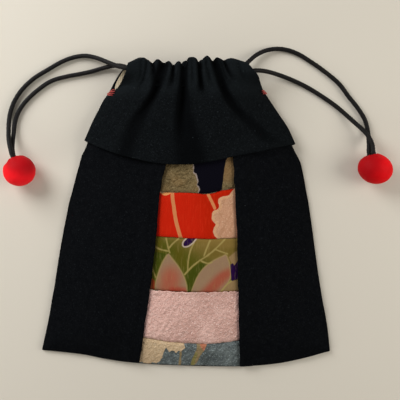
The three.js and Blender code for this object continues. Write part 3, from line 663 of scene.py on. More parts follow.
# ---------------------------------------------------------------- mouth cloth
VALLEYS = [  # x, y down the fold; depth, half width, how much it fades at the low end
    ([(-20.7, 97), (-20.6, 94), (-19.8, 88.9), (-19.0, 84)], 2.6, 1.5, 80, 90),
    ([(-13.4, 98), (-13.6, 94.8), (-15.6, 87.4), (-19.6, 75.0), (-25.6, 65), (-30.8, 56), (-34.8, 46)], 4.6, 2.3, 44, 84),
    ([(-7.5, 96), (-7.5, 92.3), (-8.3, 84.7), (-10.0, 76)], 3.0, 1.5, 74, 88),
    ([(-0.7, 96), (-0.9, 91.1), (-1.3, 83.9), (-1.6, 74.4), (-2.6, 63.7), (-3.2, 50.6), (-2.6, 34)], 4.8, 2.1, 30, 80),
    ([(8.6, 98), (8.6, 94.1), (9.0, 87), (9.9, 79), (12.0, 70)], 3.8, 1.6, 70, 85),
    ([(16.9, 99), (17.4, 95.5), (20.6, 87), (23.8, 77.5), (28.6, 68.5), (36.5, 59), (43.6, 50)], 4.4, 2.2, 46, 84),
    ([(23.8, 99), (23.9, 96.2), (26.7, 88.9), (30.5, 82)], 2.5, 1.4, 79, 90),
    ([(-27.5, 98), (-27.2, 92), (-27.8, 86), (-30, 80)], 1.1, 1.2, 79, 88),
    ([(33.0, 98), (33.2, 92), (35.5, 86), (39.5, 80)], 1.2, 1.3, 79, 88),
    ([(4.4, 98), (4.3, 92), (4.6, 84), (5.2, 74)], 0.9, 1.1, 73, 86),
    ([(12.6, 98), (13.2, 92), (15.0, 84), (17.5, 76)], 1.4, 1.2, 75, 86),
    ([(-4.2, 97), (-4.2, 90), (-5.2, 82), (-6.4, 72)], 0.7, 1.1, 72, 86),
    ([(-10.6, 97), (-11.2, 90), (-13.0, 82), (-16.0, 74)], 0.8, 1.1, 74, 86),
    ([(-24.0, 98), (-24.2, 92), (-26.0, 84), (-31.0, 74)], 1.3, 1.3, 72, 86),
    ([(20.6, 99), (22.9, 92), (26.0, 84), (31.5, 75)], 1.3, 1.1, 74, 86),
]


def gathers(x, y):
    """Depth of the folds below the crests, at each point of the mouth cloth."""
    out = np.zeros(x.shape)
    for pts, depth, width, low, high in VALLEYS:
        p = smooth_curve([(a, b, 0) for a, b in pts], 10)[::-1]
        ys = p[:, 1] + np.arange(len(p)) * 1e-7
        order = np.argsort(ys)
        xc = np.interp(y, ys[order], p[order, 0])
        w = width * (1 + 1.3 * step(high, low, y)) * (1 + 0.15 * noise(x * 0, y, 6, int(depth * 10)))
        reach = step(low, high, y) ** 0.8
        q = (x - xc) / w
        # steeper on one side, as a laid-over fold
        q = np.where(q > 0, q * 0.85, q * 1.25)
        out = out + depth * reach * np.exp(-q * q)
    return out


SHADED_TROUGHS = [  # painted shade in the soft dark troughs the folds run out into: x, y down the trough; half width at top and bottom; strength
    ([(-13.4, 98), (-15.6, 87.4), (-19.6, 75.0), (-25.6, 65), (-31.5, 55), (-36.5, 43), (-39, 34)], 2.9, 8.8, 0.95, 0.72),
    ([(-0.9, 96), (-1.3, 83.9), (-1.6, 74.4), (-1.0, 63.7), (1.0, 50.6), (3.0, 36), (4.0, 26)], 2.6, 11.0, 0.95, 0.97),
    ([(17.4, 99), (20.6, 87), (24.3, 77.5), (29.6, 68.5), (38.5, 59), (48.0, 50), (56, 44)], 2.9, 8.0, 0.95, 0.62),
    ([(8.6, 98), (9.0, 87), (10.4, 77), (13.0, 66), (16, 56)], 1.9, 3.2, 0.80, 0.0),
    ([(-7.5, 96), (-8.3, 84.7), (-10.0, 76), (-12, 68)], 1.6, 2.4, 0.55, 0.0),
    ([(-20.7, 97), (-19.8, 88.9), (-20.5, 80), (-24, 72)], 1.7, 2.6, 0.45, 0.0),
]


def painted_trough_shade_at(x, y):
    # painted shade: how much darker the mouth cloth is painted in the troughs, 0 to 1
    light = np.ones(x.shape)
    for pts, w0, w1, s0, s1 in SHADED_TROUGHS:
        p = smooth_curve([(a, b, 0) for a, b in pts], 10)[::-1]
        ys = p[:, 1] + np.arange(len(p)) * 1e-7
        order = np.argsort(ys)
        xc = np.interp(y, ys[order], p[order, 0])
        down = np.clip((ys.max() - y) / (ys.max() - ys.min()), 0, 1)
        w = lerp(w0, w1, down ** 1.3) * (1 + 0.18 * noise(x * 0, y, 8, int(w0 * 10)))
        q = (x - xc + 0.8 * noise(x, y, 9, 57) * down) / w
        light = light * (1 - lerp(s0, s1, down) * np.exp(-np.abs(q) ** 2.4) * step(-0.02, 0.08, 1 - down + 0.03))
    return 1 - light


def yoke(name, back, material, nu, gap):
    """Hem, up the outside, over the fold, and down the inside of the cord channel to its stitching."""
    us = np.linspace(0, 1, nu)
    us = 0.72 * us + 0.28 * (0.5 - 0.5 * np.cos(np.pi * us))
    zc = BACK_CHANNEL_Z if back else FRONT_CHANNEL_Z
    yc, hh = channel_y(us), channel_half(us)
    ytop = mouth_xy(us, np.ones(nu), back)[1]
    v_turn = v_at_y(us, ytop - 3.0, back)
    v_hold = v_at_y(us, yc - hh - 1.6, back)
    rows = []
    n_out, n_fold, n_in = int(62 / gap), 14, int(13 / gap)
    gy = lambda X, Y: gathers(X, Y)
    for k in range(n_out + 1):
        v = v_turn * (k / n_out)
        x, y = mouth_xy(us, v, back)
        rows.append(("out", us, v, x, y))
    P, shade, trough_shade, puff = [], [], [], []
    for _, u, v, x, y in rows:
        if back:
            z = 0.2 + 0.5 * np.clip(gy(x, y) * 0.35, 0, 1.2)
            z += 0.12 * (1 + noise(x, y, 9, 61))
            shade.append(0 * x)
            trough_shade.append(0 * x)
            puff.append(0 * x)
        else:
            z = mouth_front(u, v)
            crest = (1.35 + 0.5 * step(0.75, 0.95, v)) * step(0.05, 0.5, v)
            dig = gy(x, y) * step(0.0, 0.16, np.minimum(u, 1 - u))
            yy = channel_y(u)
            most = lerp(6.0, 2.9, np.exp(-((y - yy) / 5.0) ** 4))     # the cords in the channel carry the cloth
            dig = most * np.tanh(dig / most)
            z = z + crest - dig
            # fold depth and trough darkness, kept for the painted shade in the colour
            shade.append(dig)
            trough_shade.append(painted_trough_shade_at(x, y))
            # painted highlight: paler towards the top puffs, away from the fold valleys
            puff.append(step(66, 84, y) * np.clip(1 - dig / 2.2, 0, 1))
            z += 0.20 * step(0.3, 0.7, v) * ripples(x, y, 92, 2.6, 14, 63) + 0.34 * noise(x, y, 17, 65) * step(0.02, 0.2, v) + 0.16 * noise(x, y, 7, 66) * step(0.02, 0.2, v)
            # the hem's own fold
            hem = y - rows[0][4]
            z += 0.10 * step(5.2, 4.2, hem) - 0.14 * np.exp(-((hem - 5.0) / 0.5) ** 2)
            z += 0.22 * np.exp(-(hem / 4) ** 2) * noise(x, y * 0.2, 9, 67)
            strip = np.exp(-((x - 9.5) / 19.0) ** 4)
            z -= 1.1 * strip * np.exp(-(hem / 9) ** 2)               # the hem sinks over the thinner patchwork
        P.append(np.stack([x, y, z], -1))
    # the fold; near both ends the inside of the channel is cut back to it, where a cord turns from
    # one channel into the other
    left, right = (0.29, 0.80) if back else (0.245, 0.80)
    full = step(left - 0.035, left, us) * step(right + 0.035, right, us)
    x1, y1 = rows[-1][3], rows[-1][4]
    z1 = P[-1][:, 2]
    zi = np.full(nu, zc + 3.0 if back else zc - 3.0)
    xt = mouth_xy(us, np.ones(nu), back)[0]
    zm, zr = (z1 + zi) / 2, (z1 - zi) / 2
    turn = math.pi * lerp(0.60, 1.0, full)
    for k in range(1, n_fold + 1):
        a = turn * k / n_fold
        yy = y1 + (ytop - y1) * np.sin(a)
        z = zm + zr * np.cos(a)
        if not back:
            yy = yy - 0.10 * gy(xt, ytop - 1.0) * np.sin(a)
            z = z + 0.15 * noise(xt, a * 3.0, 2.5, 71)
        P.append(np.stack([lerp(x1, xt, np.sin(a)), yy, z], -1))
    # inside of the channel down to the stitching, then laid on the single cloth
    y2, z2 = P[-1][:, 1], P[-1][:, 2]
    y_end = lerp(y2 - 0.6, yc - hh - 3.0, full)
    for k in range(1, n_in + 1):
        y = lerp(y2, y_end, k / n_in)
        v = v_at_y(us, y, back)
        x = mouth_xy(us, v, back)[0]
        near = step(hh + 0.2, hh + 1.8, yc - y) * full
        lay = np.full(nu, 0.2 + 1.1 + 1.0) if back else mouth_front(us, v) - 2.6
        P.append(np.stack([x, y, lerp(z2, lay, near)], -1))
    P = np.array(P)
    thick = np.full(P.shape[:2], 0.95)
    thick[: int(5 / gap)] = 1.15
    shade = np.array(shade + [shade[-1]] * (len(P) - len(shade)))
    trough_shade = np.array(trough_shade + [trough_shade[-1]] * (len(P) - len(trough_shade)))
    puff = np.array(puff + [puff[-1]] * (len(P) - len(puff)))
    # the first two attributes carry painted shade in the folds and troughs, the third a painted highlight on the top
    # puffs
    return shell(name, P, thick, material, {"crest": np.clip(1 - shade / 2.6, 0, 1), "painted_trough_shade": trough_shade, "puff": puff}, flip=back)


# ---------------------------------------------------------------- back panel and linings
def back_panel(material):
    nu, nv = 120, 110
    s = 0.5 - 0.5 * np.cos(np.pi * np.linspace(0, 1, nu))
    c0, t0 = 0.4 * np.linspace(0, 1, nu) + 0.6 * s, np.linspace(0, 1.07, nv)
    C, T = np.meshgrid(c0, t0)
    x, y = body_xy(C, T)
    out = np.minimum(C, 1 - C) * 175
    low = T * 133
    grow = lerp(0.75, -2.4, step(0.90, 1.03, T))
    x = x + np.where(C < 0.5, -1, 1) * (grow * np.exp(-(out / 1.6) ** 2) * (1 + 0.3 * noise(x * 0.1, y, 9, 81)))
    y = y - 0.35 * np.exp(-(low / 1.6) ** 2)
    z = back_rise(T) + 0.05
    rim = np.exp(-(np.minimum(out, low) / 2.4) ** 2)
    z = z + 0.35 * rim + 0.12 * (1 + noise(x, y, 16, 83)) * (1 - rim) * 0.6
    top = z + 1.05
    P = np.stack([x, y, top], -1)
    return shell("back_cloth", P, 1.0, material, roll=0.8)


def lining(name, back, material):
    nu = 96
    body = list(np.linspace(0.058, 1.06, 62))
    neck = list(np.linspace(0.24, 0.66, 20))
    s = 0.5 - 0.5 * np.cos(np.pi * np.linspace(0, 1, nu))
    s = 0.4 * np.linspace(0, 1, nu) + 0.6 * s
    P = []
    for t in body:
        tt = np.full(nu, t)
        c = lerp(0.044, 0.956, s)
        x, y = body_xy(c, tt)
        if back:
            z = back_rise(tt) + 1.2 + 0.3 + 0.6
        else:
            z = front_z(c, tt) - 1.5 - 0.6 * step(0.84, 0.95, t)
        P.append(np.stack([x, y, z + 0 * x], -1))
    if back:
        neck = list(np.linspace(0.24, 0.70, 30))
    for v in neck:
        inset = lerp(0.060, 0.075, step(0.2, 0.5, v))
        if back:
            # beyond the body the lining is turned out to the edge of the back mouth cloth; at the
            # left it runs on up past the slit, under the cord
            w = step(0.50, 0.62, v)
            u = lerp(lerp(inset, 0.020, w), 1 - lerp(inset, 0.05, w), s)
            vv = v + 0.235 * step(0.50, 0.70, v) * step(0.115, 0.060, u)
            xa, ya = mouth_xy(u, vv, False)
            xb, yb = mouth_xy(u, vv, True)
            x, y = lerp(xa, xb, w), lerp(ya, yb, w)
            z = lerp(HEM_RISE + 1.2 + 0.3 + 0.1 + 0.6, 1.95, step(0.48, 0.66, v))
            z = z + 0.12 * noise(x, y, 7, 91) * w
        else:
            u = lerp(inset, 1 - inset, s)
            vv = np.full(nu, v)
            x, y = mouth_xy(u, vv, False)
            # above the body it lies against the mouth cloth and follows its folds
            low = np.minimum(mouth_front(u, vv) - 1.5, lerp(12.9, 12.4, step(0.2, 0.7, v)))
            near = mouth_front(u, vv) - 1.8 - gathers(x, y) * step(0.0, 0.16, np.minimum(u, 1 - u))
            z = lerp(low, np.maximum(np.minimum(near, mouth_front(u, vv) - 1.5), np.minimum(low, 11.0)), step(0.44, 0.54, v))
        P.append(np.stack([x, y, z], -1))
    return shell(name, np.array(P), 0.55, material)


# ---------------------------------------------------------------- camera first
scene = bpy.context.scene
cam_data = bpy.data.cameras.new("camera")
cam_data.sensor_width = 36.0
cam_data.lens = 62.31
cam = bpy.data.objects.new("camera", cam_data)
cam.location = (9.1 * MM, 8.45 * MM, 450 * MM)
cam.rotation_euler = (0, 0, 0)
cam_data.clip_start, cam_data.clip_end = 0.01, 10
scene.collection.objects.link(cam)
scene.camera = cam

# ---------------------------------------------------------------- cords and balls
def cord_cloth(name):
    m = Cloth(name, rough=0.6, specular=0.14, sheen=0.015, sheen_rough=0.4)
    m.base(srgb(12, 11, 11), srgb(28, 25, 24), m.ramp(m.grain(1.2, 2), 0.3, 0.75))
    m.bump(m.grain(0.35, 2), 0.10, 0.7)
    return m.done()


def braid(S, A):
    """Eight-strand round braid."""
    p = 3.1
    a = np.cos(4 * A + 2 * math.pi * S / p * 2)
    b = np.cos(4 * A - 2 * math.pi * S / p * 2)
    turn = np.cos(4 * A) * np.cos(4 * math.pi * S / p)
    over = np.where(turn > 0, a, b)
    return 0.925 + 0.085 * np.clip(over, -0.6, 1)


def lane(back, side, u):
    y = channel_y(u) + side * LANE
    ux = np.array([u])
    v = v_at_y(ux, np.array([y]), back)
    return [float(mouth_xy(ux, v, back)[0][0]), float(y), BACK_CHANNEL_Z if back else FRONT_CHANNEL_Z]


def through(back, side, a, b):
    return [lane(back, side, lerp(a, b, i / 8)) for i in range(9)]


def in_ball(centre, d, off, up):
    """The three route points of a cord end inside its ball."""
    d = np.array(d) / np.linalg.norm(d)
    return [[centre[0] + d[0] * q + d[1] * off, centre[1] + d[1] * q - d[0] * off, centre[2] + up] for q in (3.4, 7, 11)]


BALL_L, DIR_L = (-105.8, 27.1, 10.0), (-0.38, 0.925, 0)
BALL_R_, DIR_R = (120.5, 28.4, 9.75), (-0.24, 0.971, 0)
F, Bk = FRONT_CHANNEL_Z, BACK_CHANNEL_Z
LEFT_PATH = [
    *in_ball(BALL_L, DIR_L, 0, 1.6),
    [-111.4, 41.5, 10.4], [-112.9, 46.6, 8.0], [-113.9, 52.2, 5.2], [-114.3, 58.5, 3.0], [-113.6, 65.2, 1.9], [-110.9, 72.6, 1.8], [-106.0, 80.0, 1.8], [-98.6, 87.0, 1.8],
    [-88.6, 93.2, 1.9], [-79.6, 98.2, 2.0], [-71.8, 100.9, 2.1], [-64.8, 101.6, 2.6], [-57.6, 100.0, 4.1], [-50.4, 96.8, 6.9], [-43.6, 93.5, 11.4], [-38.4, 91.7, 14.2],
    *through(False, 1, 0.06, 0.82),
    [32.75, 89.0, 13.66], [34.76, 88.5, 11.65], [35.5, 87.5, 8.9], [34.76, 86.7, 6.15], [32.75, 86.1, 4.14],
    *through(True, -1, 0.84, 0.27),
    [-24.3, 85.1, 3.3], [-28.3, 86.5, 3.3], [-32.0, 88.9, 4.0], [-35.5, 91.6, 5.4], [-38.8, 93.7, 6.7], [-43.0, 94.7, 5.9], [-47.7, 94.8, 4.0], [-51.2, 94.2, 3.0], [-54.6, 93.4, 2.4], [-61.5, 91.5, 1.9], [-69.0, 89.9, 1.8], [-77.0, 88.4, 1.8], [-87.2, 85.4, 1.8], [-96.4, 79.2, 1.8],
    [-103.6, 72.4, 1.8], [-108.4, 65.4, 1.8], [-110.7, 58.4, 1.9], [-111.2, 52.0, 2.8], [-111.3, 46.6, 4.6], [-111.0, 41.8, 6.8],
    *in_ball(BALL_L, DIR_L, 0, -1.6)[::-1],
]
RIGHT_PATH = [
    *in_ball(BALL_R_, DIR_R, -1.15, -1.05),
    [117.2, 42.8, 7.2], [117.6, 47.2, 4.6], [117.8, 51.4, 2.6], [117.2, 55.8, 1.8], [115.6, 60.8, 1.8], [110.7, 68.6, 1.8], [105.1, 75.6, 1.8], [99.4, 83.3, 1.8], [90.4, 91.1, 1.8],
    [80.5, 98.1, 1.8], [72.4, 103.0, 1.9], [65.0, 105.6, 2.0], [57.6, 106.1, 2.4], [50.6, 104.6, 2.9], [45.0, 101.6, 3.6], [39.4, 96.6, 4.8], [36.5, 93.8, 5.2], [33.4, 91.3, 4.5],
    *through(True, 1, 0.86, 0.27),
    [-24.05, 88.3, 4.14], [-26.06, 87.7, 6.15], [-26.8, 86.9, 8.9], [-26.06, 86.1, 11.65], [-24.05, 85.4, 13.66],
    *through(False, -1, 0.22, 0.86),
    [36.4, 87.2, 14.4], [39.6, 88.9, 14.2], [43.0, 90.0, 13.4], [48.0, 90.5, 10.7], [54.4, 90.0, 7.2], [61.6, 88.3, 4.4], [69.7, 85.5, 2.6], [78.4, 81.4, 1.9], [86.8, 76.3, 1.8], [96.5, 69.6, 1.8],
    [103.4, 63.6, 2.4], [108.6, 58.4, 4.2], [113.2, 53.6, 6.4], [116.6, 49.0, 8.4], [118.6, 43.8, 10.0],
    *in_ball(BALL_R_, DIR_R, 1.15, 1.05)[::-1],
]


def drawstring(name, path, material):
    line = resample(smooth_curve(path), 0.45)
    verts, faces, _ = tube(name, line, CORD_R, 16, material, relief=braid)
    ob = new_mesh(name, verts, faces, material)
    length = float(np.linalg.norm(np.diff(line, axis=0), axis=1).sum()) * MM
    return ob, line, length


def ball(name, centre, toward, squash, material, seed, dent, shaded_side):
    """A cloth ball: the cloth is drawn in round the cord ends in soft pleats, most at the dent."""
    R, bore, deep = 10.0, 3.7, 7.5
    open_ = math.asin(bore / R)
    n_a, n_b = 120, 84
    A = np.arange(n_a) * 2 * math.pi / n_a
    lat = np.linspace(-math.pi / 2 + 0.02, math.pi / 2 - open_, n_b)
    rows = []
    for la in lat:
        near = step(0.25, math.pi / 2 - open_, la)
        far = step(-0.9, -1.5, la)
        pleat = (0.26 * np.cos(9 * A + 1.2 * np.sin(2 * A + seed) + 0.5 * math.sin(3 * la)) + 0.16 * np.cos(17 * A + 2.0 * seed)) * near**1.3
        px, py = A * R * max(math.cos(la), 0.25), la * R
        cyc = 0.5 + 0.5 * np.cos(A)
        lump = 0.10 * lerp(noise(px, py, 6.0, seed), noise(px + 400, py, 6.0, seed), cyc) + 0.07 * lerp(noise(px, py, 2.6, seed + 2), noise(px + 300, py, 2.6, seed + 2), cyc)
        lump = lump * (1 - far)
        r = R + pleat + lump - 0.25 * near
        rows.append(np.stack([r * math.cos(la) * np.cos(A), r * math.sin(la) + 0 * A, r * math.cos(la) * np.sin(A)], -1))
    lip = rows[-1]
    y_lip = float(np.mean(lip[:, 1]))
    for k, (rr, yy) in enumerate(((3.55, y_lip + 0.15), (3.45, y_lip - 0.8), (3.6, y_lip - deep * 0.5), (3.6, y_lip - deep))):
        w = 0.5 if k == 0 else 0.0
        base = np.stack([rr * np.cos(A), 0 * A + yy, rr * np.sin(A)], -1)
        rows.append(lerp(base, lip, w))
    G = np.array(rows)
    n = G.shape[0]
    verts = np.concatenate([G.reshape(-1, 3), [[0, G[0, :, 1].mean() - 0.01, 0]], [[0, y_lip - deep, 0]]])
    idx = np.arange(n * n_a).reshape(n, n_a)
    a, b = idx[:-1], np.roll(idx[:-1], -1, 1)
    c, d = np.roll(idx[1:], -1, 1), idx[1:]
    faces = [tuple(q) for q in np.stack([a, d, c, b], -1).reshape(-1, 4)]
    k = n * n_a
    for i in range(n_a):
        j = (i + 1) % n_a
        faces.append((k, int(idx[0, i]), int(idx[0, j])))
        faces.append((k + 1, int(idx[-1, j]), int(idx[-1, i])))
    q = Vector((0, 1, 0)).rotation_difference(Vector(toward).normalized()).to_matrix()
    M = np.array(q)
    verts = verts @ M.T
    way, deep_, wide = unit(np.array(dent[0])), dent[1], dent[2]
    far_out = np.linalg.norm(verts, axis=1)
    turn = np.arccos(np.clip(unit(verts) @ way, -1, 1))
    verts -= verts / np.maximum(far_out, 1e-6)[:, None] * (deep_ * np.exp(-(turn / wide) ** 2) * step(7.0, 9.0, far_out))[:, None]
    # painted shade: each ball is painted darker on the given side, towards the bag and its neck
    shade = step(-0.35, 0.95, unit(verts) @ unit(np.array(shaded_side, float)))
    lean = math.radians(squash[3]) if len(squash) > 3 else 0.0
    turned = np.array([[math.cos(lean), math.sin(lean), 0], [-math.sin(lean), math.cos(lean), 0], [0, 0, 1]])
    verts = (verts @ turned.T * np.array(squash[:3])) @ turned + np.array(centre)
    return new_mesh(name, verts, faces, material, {"shade": shade})


def red_cloth(name, low, high):
    m = Cloth(name, rough=0.62, specular=0.07, sheen=0.02, sheen_rough=0.4, sheen_tint=(1, 0.25, 0.25, 1))
    m.base(low, high, m.ramp(m.grain(5, 2, 0.5), 0.3, 0.7))
    # painted shade on the ball's side towards the bag
    m.layer(m.ramp(m.attribute("shade"), 0.0, 1.0, 0.0, 0.85), srgb(150, 6, 14))
    m.bump(m.cells(0.7, "SMOOTH_F1", 0.4), 0.10, 0.7)
    m.bump(m.grain(1.8, 3), 0.12, 0.6)
    return m.done()


CORD = cord_cloth("cord_braid")
left_cord, left_line, left_len = drawstring("cord_left", LEFT_PATH, CORD)
right_cord, right_line, right_len = drawstring("cord_right", RIGHT_PATH, CORD)
# the left ball's red is painted lighter than the right ball's: painted light on the same cloth
left_ball = ball("ball_left", BALL_L, DIR_L, (1.02, 0.98, 1), red_cloth("red_crepe_ball_left_painted_lighter", srgb(250, 24, 34), srgb(255, 29, 39)), 2, ((-0.80, 0.60, 0.1), 2.7, 0.26), (0.25, 0.85, 0.45))
right_ball = ball("ball_right", BALL_R_, DIR_R, (1.11, 0.965, 0.975, -17), red_cloth("red_crepe_ball_right", srgb(212, 6, 14), srgb(222, 9, 18)), 5, ((-0.62, 0.78, 0.0), 0.7, 0.30), (-0.80, 0.35, 0.35))
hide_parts("left_drawstring")
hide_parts("right_drawstring")
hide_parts("left_ball")
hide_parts("right_ball")

# ---------------------------------------------------------------- black cloth pieces
BLACK = black_cloth("black_crepe", srgb(6, 7, 9), srgb(11, 12, 14))
BLACK_MOUTH = black_cloth("black_crepe_mouth", srgb(8.5, 10.5, 12), srgb(15, 17.8, 19.2), True)
left_panel = side_panel("panel_left", False, BLACK)
right_panel = side_panel("panel_right", True, BLACK)
front_yoke = yoke("mouth_front", False, BLACK_MOUTH, 190, 0.62)
back_yoke = yoke("mouth_back", True, BLACK_MOUTH, 120, 0.9)
back_cloth = back_panel(BLACK)
for piece, node_name, flat, held in (
    (left_panel, "front_left_panel", (0.068, 0.145), "stretched"),
    (right_panel, "front_right_panel", (0.060, 0.145), "stretched"),
    (back_cloth, "back_panel", (0.170, 0.145), "laid"),
    (front_yoke, "front_yoke", (0.141, 0.080), "gathered"),
    (back_yoke, "back_yoke", (0.141, 0.080), "gathered"),
):
    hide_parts(node_name)

# ---------------------------------------------------------------- linings
cream = Cloth("cream_cotton", rough=0.9, specular=0.15, sheen=0.05)
cream.base(srgb(186, 170, 142), srgb(204, 190, 164), cream.ramp(cream.grain(9, 3), 0.35, 0.7))
weave(cream, 0.7, 0.10)
cream.bump(cream.grain(3, 2), 0.25, 0.6)
cream.done()
front_lining = lining("lining_front", False, cream.mat)
back_lining = lining("lining_back", True, cream.mat)
for piece, node_name in ((front_lining, "front_lining"), (back_lining, "back_lining")):
    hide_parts(node_name)

# ---------------------------------------------------------------- khaki patch
NAVY = [(4.6, 48), (5.2, 38), (4.9, 31.1), (5.1, 28.5), (5.0, 25.8), (6.6, 24.7), (7.2, 22.3), (7.8, 20.1), (7.1, 17.9), (8.2, 16.5), (8.6, 15.2), (8.0, 13.0), (8.0, 9.5),
        (22.6, 9.5), (22.8, 14.3), (23.2, 17.9), (23.7, 21.4), (24.1, 25.8), (24.6, 29.4), (25.4, 32.9), (26.6, 35.5), (28.0, 48)]
KHAKI_EDGE = NAVY[1:12]
RNG = np.random.RandomState(11)


def khaki_creases():
    out = []
    for _ in range(34):
        x, y = RNG.uniform(-13, 3), RNG.uniform(16, 32)
        a, l = math.radians(RNG.uniform(-5, 45)), RNG.uniform(1.6, 5.2)
        b = RNG.uniform(-0.5, 0.5)
        out.append([(x, y), (x + l * 0.5 * math.cos(a), y + l * 0.5 * math.sin(a) + b), (x + l * math.cos(a), y + l * math.sin(a))])
    return out


KHAKI_LINES = khaki_creases()


def khaki_prints(x, y):
    jag = 0.22 * noise(x, y, 1.6, 101)
    return {
        "navy": area(x, y, np.array(NAVY)) + jag * 0.5,
        "pale": np.abs(area(x, y, np.array(NAVY))) - 0.30 + 0.28 * noise(x, y, 1.3, 103) + 50 * (x > 15) + 50 * (y > 37),
        "crease": strokes(x, y, KHAKI_LINES, 0.42),
        "warm": step(15, 26, x) * step(14, 26, y),
    }


def khaki_relief(x, y):
    on = step(1.2, -1.0, area(x, y, np.array(NAVY)))
    d = strokes(x, y, KHAKI_LINES, 0.2)
    crinkle = 0.17 * ripples(x, y, 22, 1.7, 5.5, 105) + 0.17 * noise(x, y, 1.05, 107)
    return (crinkle - 0.26 * np.exp(-(np.maximum(d, 0) / 0.5) ** 2)) * (1 - 0.85 * on) * (0.5 + 0.5 * step(18, 4, x))


m = crepe("khaki_crepe_print", 0.88, 0.18)
m.base(srgb(92, 78, 51), srgb(118, 102, 71), m.ramp(m.grain(2.2, 3, 0.65), 0.32, 0.70))
m.layer(m.ramp(m.grain(12, 2), 0.45, 0.75, 0.0, 0.5), srgb(124, 98, 62))
m.layer(m.ramp(m.grain(0.95, 2, 0.6), 0.53, 0.71, 0.0, 0.65), srgb(146, 128, 94))
m.layer(m.ramp(m.attribute("warm"), 0.0, 1.0, 0.0, 0.50), srgb(126, 94, 60))
m.layer(m.ramp(m.grain(0.8, 2, 0.6, (1, 1.4, 1)), 0.46, 0.30, 0.0, 0.62), srgb(58, 47, 28))
m.shape("crease", srgb(56, 46, 27), 0.22, 0.65)
m.shape("navy", srgb(9, 8, 16), 0.16)
m.shape("pale", srgb(164, 148, 140), 0.28, 0.70)
crepe_bump(m, 1.1, 0.22)
patch_khaki = patch("khaki_patch", 0.856, 1.07, m.done(), khaki_relief, khaki_prints)

# ---------------------------------------------------------------- red patch
FLOWER = [(31.2, 16.4), (28.8, 13.4), (27.4, 11.2), (23.5, 10.8), (21.0, 9.5), (20.4, 7.3), (21.3, 5.0), (20.6, 2.6), (17.7, 1.9), (16.5, -0.7), (16.6, -3.8), (17.7, -5.6), (19.3, -6.9),
          (17.9, -9.1), (17.3, -11.3), (17.9, -13.6), (19.9, -16), (26, -19), (42, -19), (42, 18)]


def red_prints(x, y):
    flower = area(x, y, rounded(FLOWER, 1))
    return {
        "flower": flower + 0.10 * noise(x, y, 1.1, 111),
        "rim": np.abs(flower + 0.9) - 0.75 + 0.45 * noise(x, y, 1.3, 113),
        "veins": np.abs(ripples(x, y, 68, 1.5, 8, 115)) * 1.5 - 0.22 + np.maximum(flower + 1.0, 0) * 3,
        "bands": np.minimum(strokes(x, y, [[(-8.4, 16), (-8.3, 9.9), (-7.5, 4.6), (-6.9, 0.2), (-6.2, -4.2), (-4.9, -9.6), (-2.6, -17)]], 2.35),
                            strokes(x, y, [[(13.2, 14.6), (14.2, 12.1), (15.7, 9.0), (17.0, 6.4), (18.4, 3.3)]], 1.9)) + 0.08 * noise(x, y, 1.4, 117),
        "scallop": area(x, y, rounded([(-17.2, 15.5), (-16.6, 13.4), (-15.5, 12.5), (-13.7, 11.2), (-11.1, 11.5), (-9.0, 13.0), (-8.5, 15.5)], 1)),
        "tone": step(-12, 30, x + 0.2 * y) + 0.12 * noise(x, y, 9, 119),
    }


m = crepe("red_silk_print", 0.72, 0.22, 0.06)
m.base(srgb(186, 30, 8), srgb(168, 27, 2), m.ramp(m.attribute("tone"), 0.1, 0.9))
m.layer(m.ramp(m.grain(1.1, 2, 0.5, (1, 0.16, 1)), 0.50, 0.68, 0.0, 0.30), srgb(200, 46, 20))
m.shape("bands", srgb(194, 120, 74))
m.shape("scallop", srgb(208, 140, 84))
m.shape("flower", srgb(184, 138, 108))
m.shape("rim", srgb(206, 162, 118), 0.45, 0.55)
fl = m.ramp(m.attribute("flower"), 0.2, -0.4)
m.layer(m.math("MULTIPLY", m.ramp(m.grain(0.95, 2, 0.6), 0.52, 0.70, 0.0, 0.55), fl), srgb(214, 178, 148))
m.layer(m.math("MULTIPLY", m.ramp(m.grain(0.85, 2, 0.6), 0.46, 0.30, 0.0, 0.45), fl), srgb(146, 102, 74))
m.shape("veins", srgb(150, 108, 74), 0.25, 0.35)
# painted shade along the sides where the black panels lap over the patch
m.layer(m.ramp(m.attribute("edge"), 2.2, -0.5, 0.0, 0.35), srgb(120, 20, 30))
m.bump(m.grain(0.9, 2, 0.5, (1, 0.14, 1)), 0.16, 0.8)
m.bump(m.grain(0.5, 1), 0.06, 0.7)
patch_red = patch("red_patch", 0.625, 0.856, m.done(),
                  lambda x, y: 0.14 * noise(x, y, 12, 121) + 0.07 * ripples(x, y, 84, 2.2, 12, 123), red_prints, top=-0.85, bottom=-0.25)

# ---------------------------------------------------------------- green patch
BRANCHES = [
    [(-12.2, -15.9), (-11.1, -21.6), (-9.9, -25.0)], [(-4.4, -16.0), (-8.0, -18.9), (-10.4, -21.8)], [(-20.4, -20.4), (-16.0, -22.9), (-10.9, -23.8)],
    [(5.3, -18.5), (3.1, -22.9), (1.9, -28.0), (1.4, -32.8), (1.3, -36.5)], [(15.5, -17.1), (14.0, -20.5), (11.6, -26.8)],
    [(26.4, -14.6), (22.0, -19.4), (17.0, -24.2), (12.6, -27.6), (9.1, -29.6), (3.6, -34.0), (-0.6, -38.6)],
    [(9.1, -29.6), (12.0, -31.2), (14.4, -31.8), (16.6, -31.0)], [(18.8, -22.8), (22.6, -24.2), (26.4, -25.6)],
    [(-21.8, -32.0), (-20.6, -36.5), (-18.9, -40.3)], [(22.2, -49.9), (25.4, -45.6), (29.0, -42.7)],
]
PETAL_1 = [(-10.7, -25.0), (-9.4, -27.4), (-4.9, -32.9), (-1.5, -38.7), (0.4, -44.0), (1.1, -49.3), (1.3, -53), (-19.6, -53), (-19.4, -49.3), (-19.2, -44.5), (-18.0, -40.1), (-16.0, -33.8), (-13.6, -29.0), (-11.6, -26.0)]
